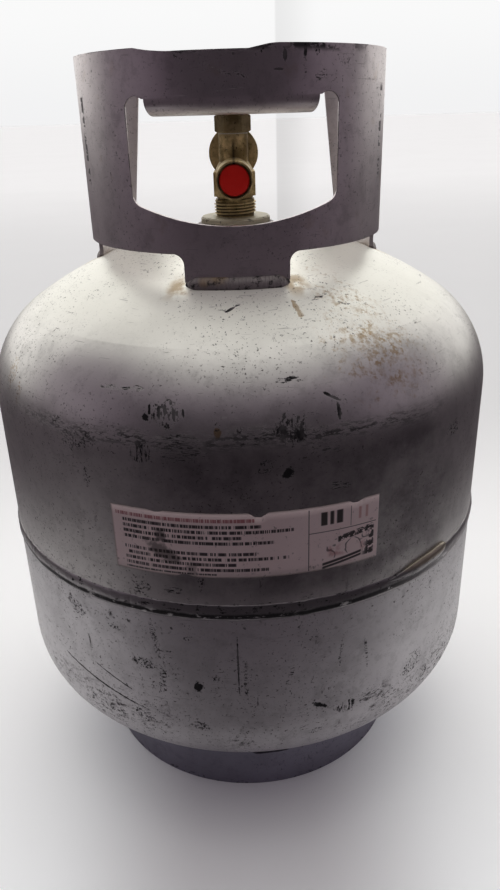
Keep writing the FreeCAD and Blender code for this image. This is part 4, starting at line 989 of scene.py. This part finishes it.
# ---------------------------------------------------------------- surroundings
def floor_material():
    """Pale floor. Only light and reflections meet the dark room past the table's edge, and only a
    straight look meets the lift beside the cylinder, which stands for light the tent throws back."""
    look = Look("floor_pale")
    away = look.length(look.x, look.y)
    tone = look.mix(look.noise(2.0, 3.0), rgb(0.865, 0.87, 0.885), rgb(0.905, 0.91, 0.925))
    # Painted shade: a band of floor behind the cylinder is painted darker.
    behind = look.times(look.step(look.y, 0.10, 0.62), look.step(look.y, 5.0, 0.8))
    tone = look.over(tone, BLACK, behind, 0.20)
    shade = corner_shade(look, look.x, look.add(look.y, -CAMERA_PLACE[1]))
    tone = look.over(tone, BLACK, shade, look.step(look.y, 1.6, 3.0), 0.19)
    past_edge = look.most(look.step(look.y, -0.08, -0.38), look.step(away, 0.30, 0.60))
    unseen = look.times(past_edge, look.invert(look.seen()))
    colour = look.over(tone, rgb(0.056, 0.040, 0.054), unseen, 0.96)
    beside = look.step(look.size(look.x), 0.03, 0.14)
    near = look.times(look.step(look.y, 0.05, -0.25), 0.13)
    lift = look.times(look.seen(), look.add(0.03, look.times(beside, look.add(0.04, near))))
    normal = look.bump(look.noise(300.0, 3.0), 0.05, 0.0004)
    return look.finish(colour, 1.0, 0.0, normal, lift, Specular_IOR_Level=0.0,
                       Emission_Color=rgb(0.94, 1.0, 0.99))


def floor():
    reach = 30.0
    mesh = bpy.data.meshes.new("floor")
    mesh.from_pydata([(-reach, -reach, 0), (reach, -reach, 0), (reach, reach, 0), (-reach, reach, 0)],
                     [], [(0, 1, 2, 3)])
    mesh.materials.append(floor_material())
    ground = bpy.data.objects.new("floor", mesh)
    ground.location.z = CAD_BOX[0][2] - 0.0002
    bpy.context.scene.collection.objects.link(ground)


def corner_shade(look, aside, forward):
    """The soft shade of the tent's back corner, by the direction in which the corner lies."""
    direction = look.math("DIVIDE", aside, forward)
    edge = look.step(direction, CORNER - 0.0015, CORNER + 0.0015)
    fade = look.step(direction, CORNER + 0.055, CORNER + 0.002)
    return look.times(edge, fade, look.step(forward, 0.0, 0.1))


def studio_light():
    """A white tent open at the front, with a bright panel above and behind, and a dark room in front."""
    look = Look("studio", bpy.data.worlds, "Generated")
    bpy.context.scene.world = look.material
    aside, forward, upward = look.x, look.y, look.z
    wide = look.step(look.size(aside), 0.60, 1.0)
    walls = look.most(look.times(wide, SIDE_LIGHT), look.times(look.step(forward, 0.0, 0.6), BACK_LIGHT))
    above = look.times(look.math("POWER", look.most(upward, 0.0), 3.0), TOP_LIGHT)
    panel = look.times(look.within(upward, 0.56, 0.86, 0.18), look.step(forward, 0.10, 0.55),
                       look.step(look.size(aside), 0.75, 0.10), PANEL_LIGHT)
    strength = look.add(look.most(walls, above, panel), ROOM_LIGHT)
    tint = look.mix(look.step(strength, 0.0, 0.6), rgb(1.0, 0.74, 1.0), rgb(1.0, 0.985, 0.95))
    lit = look.glow(tint, strength)
    haze = look.mix(look.step(upward, -0.02, 0.12), rgb(0.735, 0.735, 0.74), rgb(0.78, 0.78, 0.78))
    shade = look.times(corner_shade(look, aside, forward), 0.11)
    shown = look.glow(look.over(haze, BLACK, shade))
    output = look.nodes.new("ShaderNodeOutputWorld")
    look.links.new(look.blend(look.seen(), lit, shown), output.inputs["Surface"])


def soft_sun():
    """A wide lamp above the tent, a little behind the cylinder."""
    data = bpy.data.lights.new("overhead", "SUN")
    data.energy = SUN_LIGHT
    data.angle = math.radians(60.0)
    data.color = (1.0, 0.985, 0.95)
    lamp = bpy.data.objects.new("overhead", data)
    lamp.rotation_euler = (math.radians(-20.0), 0.0, 0.0)
    bpy.context.scene.collection.objects.link(lamp)


def camera():
    """Close in front, just under the collar's rim, looking down the body with a wide lens."""
    pitch, yaw, roll = CAMERA_PITCH, CAMERA_YAW, CAMERA_ROLL
    forward = Vector((math.sin(yaw) * math.cos(pitch), math.cos(yaw) * math.cos(pitch), -math.sin(pitch)))
    level = Vector((math.cos(yaw), -math.sin(yaw), 0.0))
    upward = level.cross(forward)
    across = level * math.cos(roll) + upward * math.sin(roll)
    above = upward * math.cos(roll) - level * math.sin(roll)
    data = bpy.data.cameras.new("camera")
    data.sensor_width = 36.0
    data.lens = CAMERA_LENS
    view = bpy.data.objects.new("camera", data)
    turn = Matrix((across, above, -forward)).transposed().to_4x4()
    view.matrix_world = Matrix.Translation(CAMERA_PLACE) @ turn
    bpy.context.scene.collection.objects.link(view)
    bpy.context.scene.camera = view


# ---------------------------------------------------------------- dressing the frame
def dress(material, *nodes):
    """Give CAD nodes a material."""
    for node in nodes:
        slots = frame["nodes"][node].data.materials
        slots.clear()
        slots.append(material)


camera()
floor()
studio_light()
soft_sun()
view_settings = bpy.context.scene.view_settings
view_settings.view_transform = "Standard"
view_settings.exposure = EXPOSURE
view_settings.gamma = GAMMA

brass = aged_brass()
steel = plain_finish("plated_steel", (0.40, 0.39, 0.36), (0.62, 0.61, 0.57), 0.32, 0.9, 400.0, 0.2)
weld = weld_paint()
dress(silver_paint("upper_paint", (0.72, 0.71, 0.69), upper_chips, upper_stains, wall_foot, front_dark_band,
                   busy_shoulder, painted_highlight_top, 0.8), "upper_shell")
dress(silver_paint("lower_paint", (0.70, 0.69, 0.70), lower_chips, busy=busy_belly, dirt=0.85), "lower_shell")
# The collar's tone is tinted purple: a painted shade colour, the purple cast of its shaded front.
dress(silver_paint("collar_paint", (0.77, 0.72, 0.73), collar_chips, collar_stains, dirt=0.55), "collar")
dress(silver_paint("foot_paint", (0.36, 0.355, 0.42), foot_chips, dirt=0.5), "foot_ring")
dress(bung_paint(), "valve_bung")
dress(brass, "valve_body", "bonnet_nut", "upper_spindle", "lower_spindle", "relief_poppet", "relief_adjuster")
dress(cap_plastic(), "relief_dust_cap")
dress(plain_finish("seal_plastic", (0.55, 0.53, 0.48), (0.72, 0.70, 0.64), 0.5, 0.0, 500.0, 0.15),
      "bonnet_gasket", "spindle_thrust_washer")
dress(plain_finish("seal_rubber", (0.010, 0.010, 0.010), (0.022, 0.021, 0.021), 0.55, 0.0, 700.0, 0.3),
      "spindle_o_ring_lower", "spindle_o_ring_upper", "seat_disc", "relief_seal")
dress(plain_finish("handwheel_plastic", (0.012, 0.012, 0.013), (0.028, 0.027, 0.028), 0.42, 0.0, 900.0, 0.35),
      "handwheel")
dress(steel, "handwheel_washer", "handwheel_screw")

spring_coil(steel)
label_sheet(label_print())
seam = seam_paint()
girth_bead(seam)
bead_overlap(seam)
fillet_bead("front_leg_bead", "collar_weld_front", -FRONT_LEG, FRONT_LEG, COLLAR_RADIUS, FRONT_BEAD,
            dome_height, 1, weld, 3.0)
for side, name in ((-1, "left"), (1, "right")):
    edges = sorted(side * edge for edge in SIDE_LEGS)
    fillet_bead("side_leg_bead_" + name, "collar_weld_" + name, *edges, COLLAR_RADIUS, SIDE_BEAD,
                dome_height, 1, weld, 5.0 + side)
fillet_bead("bung_bead", "bung_weld", 0.0, 360.0, BUNG_RADIUS, FRONT_BEAD, dome_height, 1, weld, 9.0)
for number in range(3):
    middle = FOOT_WELD + 120.0 * number
    fillet_bead("foot_bead_%d" % (number + 1), "foot_ring_weld_%d" % (number + 1),
                middle - FOOT_WELD_HALF, middle + FOOT_WELD_HALF, FOOT_RADIUS, FOOT_BEAD,
                belly_height, -1, weld, 20.0 + number)

SHANK_TOP = BUNG_TOP + SHANK_LENGTH
thread("shank_thread", lambda level: SHANK_RADIUS - (SHANK_TOP - level) / 32.0, BUNG_TOP + 0.5 * THREAD_PITCH,
       SHANK_TOP - 0.4 * THREAD_PITCH, THREAD_PITCH, 1.15 * MM, 1, False, Matrix.Identity(4), brass)
outlet = [mount for mount in frame["record"]["mounts"] if mount["name"] == "gas_outlet"][0]
mouth = Vector(outlet["pos_m"])
length, bore = outlet["dims"]["length_mm"] * MM, outlet["dims"]["r_mm"] * MM
into = Matrix.Translation(mouth) @ Matrix.Rotation(math.radians(-90.0), 4, "X")
thread("outlet_thread", lambda level: bore, -length + THREAD_PITCH, -0.6 * THREAD_PITCH, THREAD_PITCH,
       1.0 * MM, -1, True, into, brass)
forging_line(brass)

bpy.context.view_layer.update()
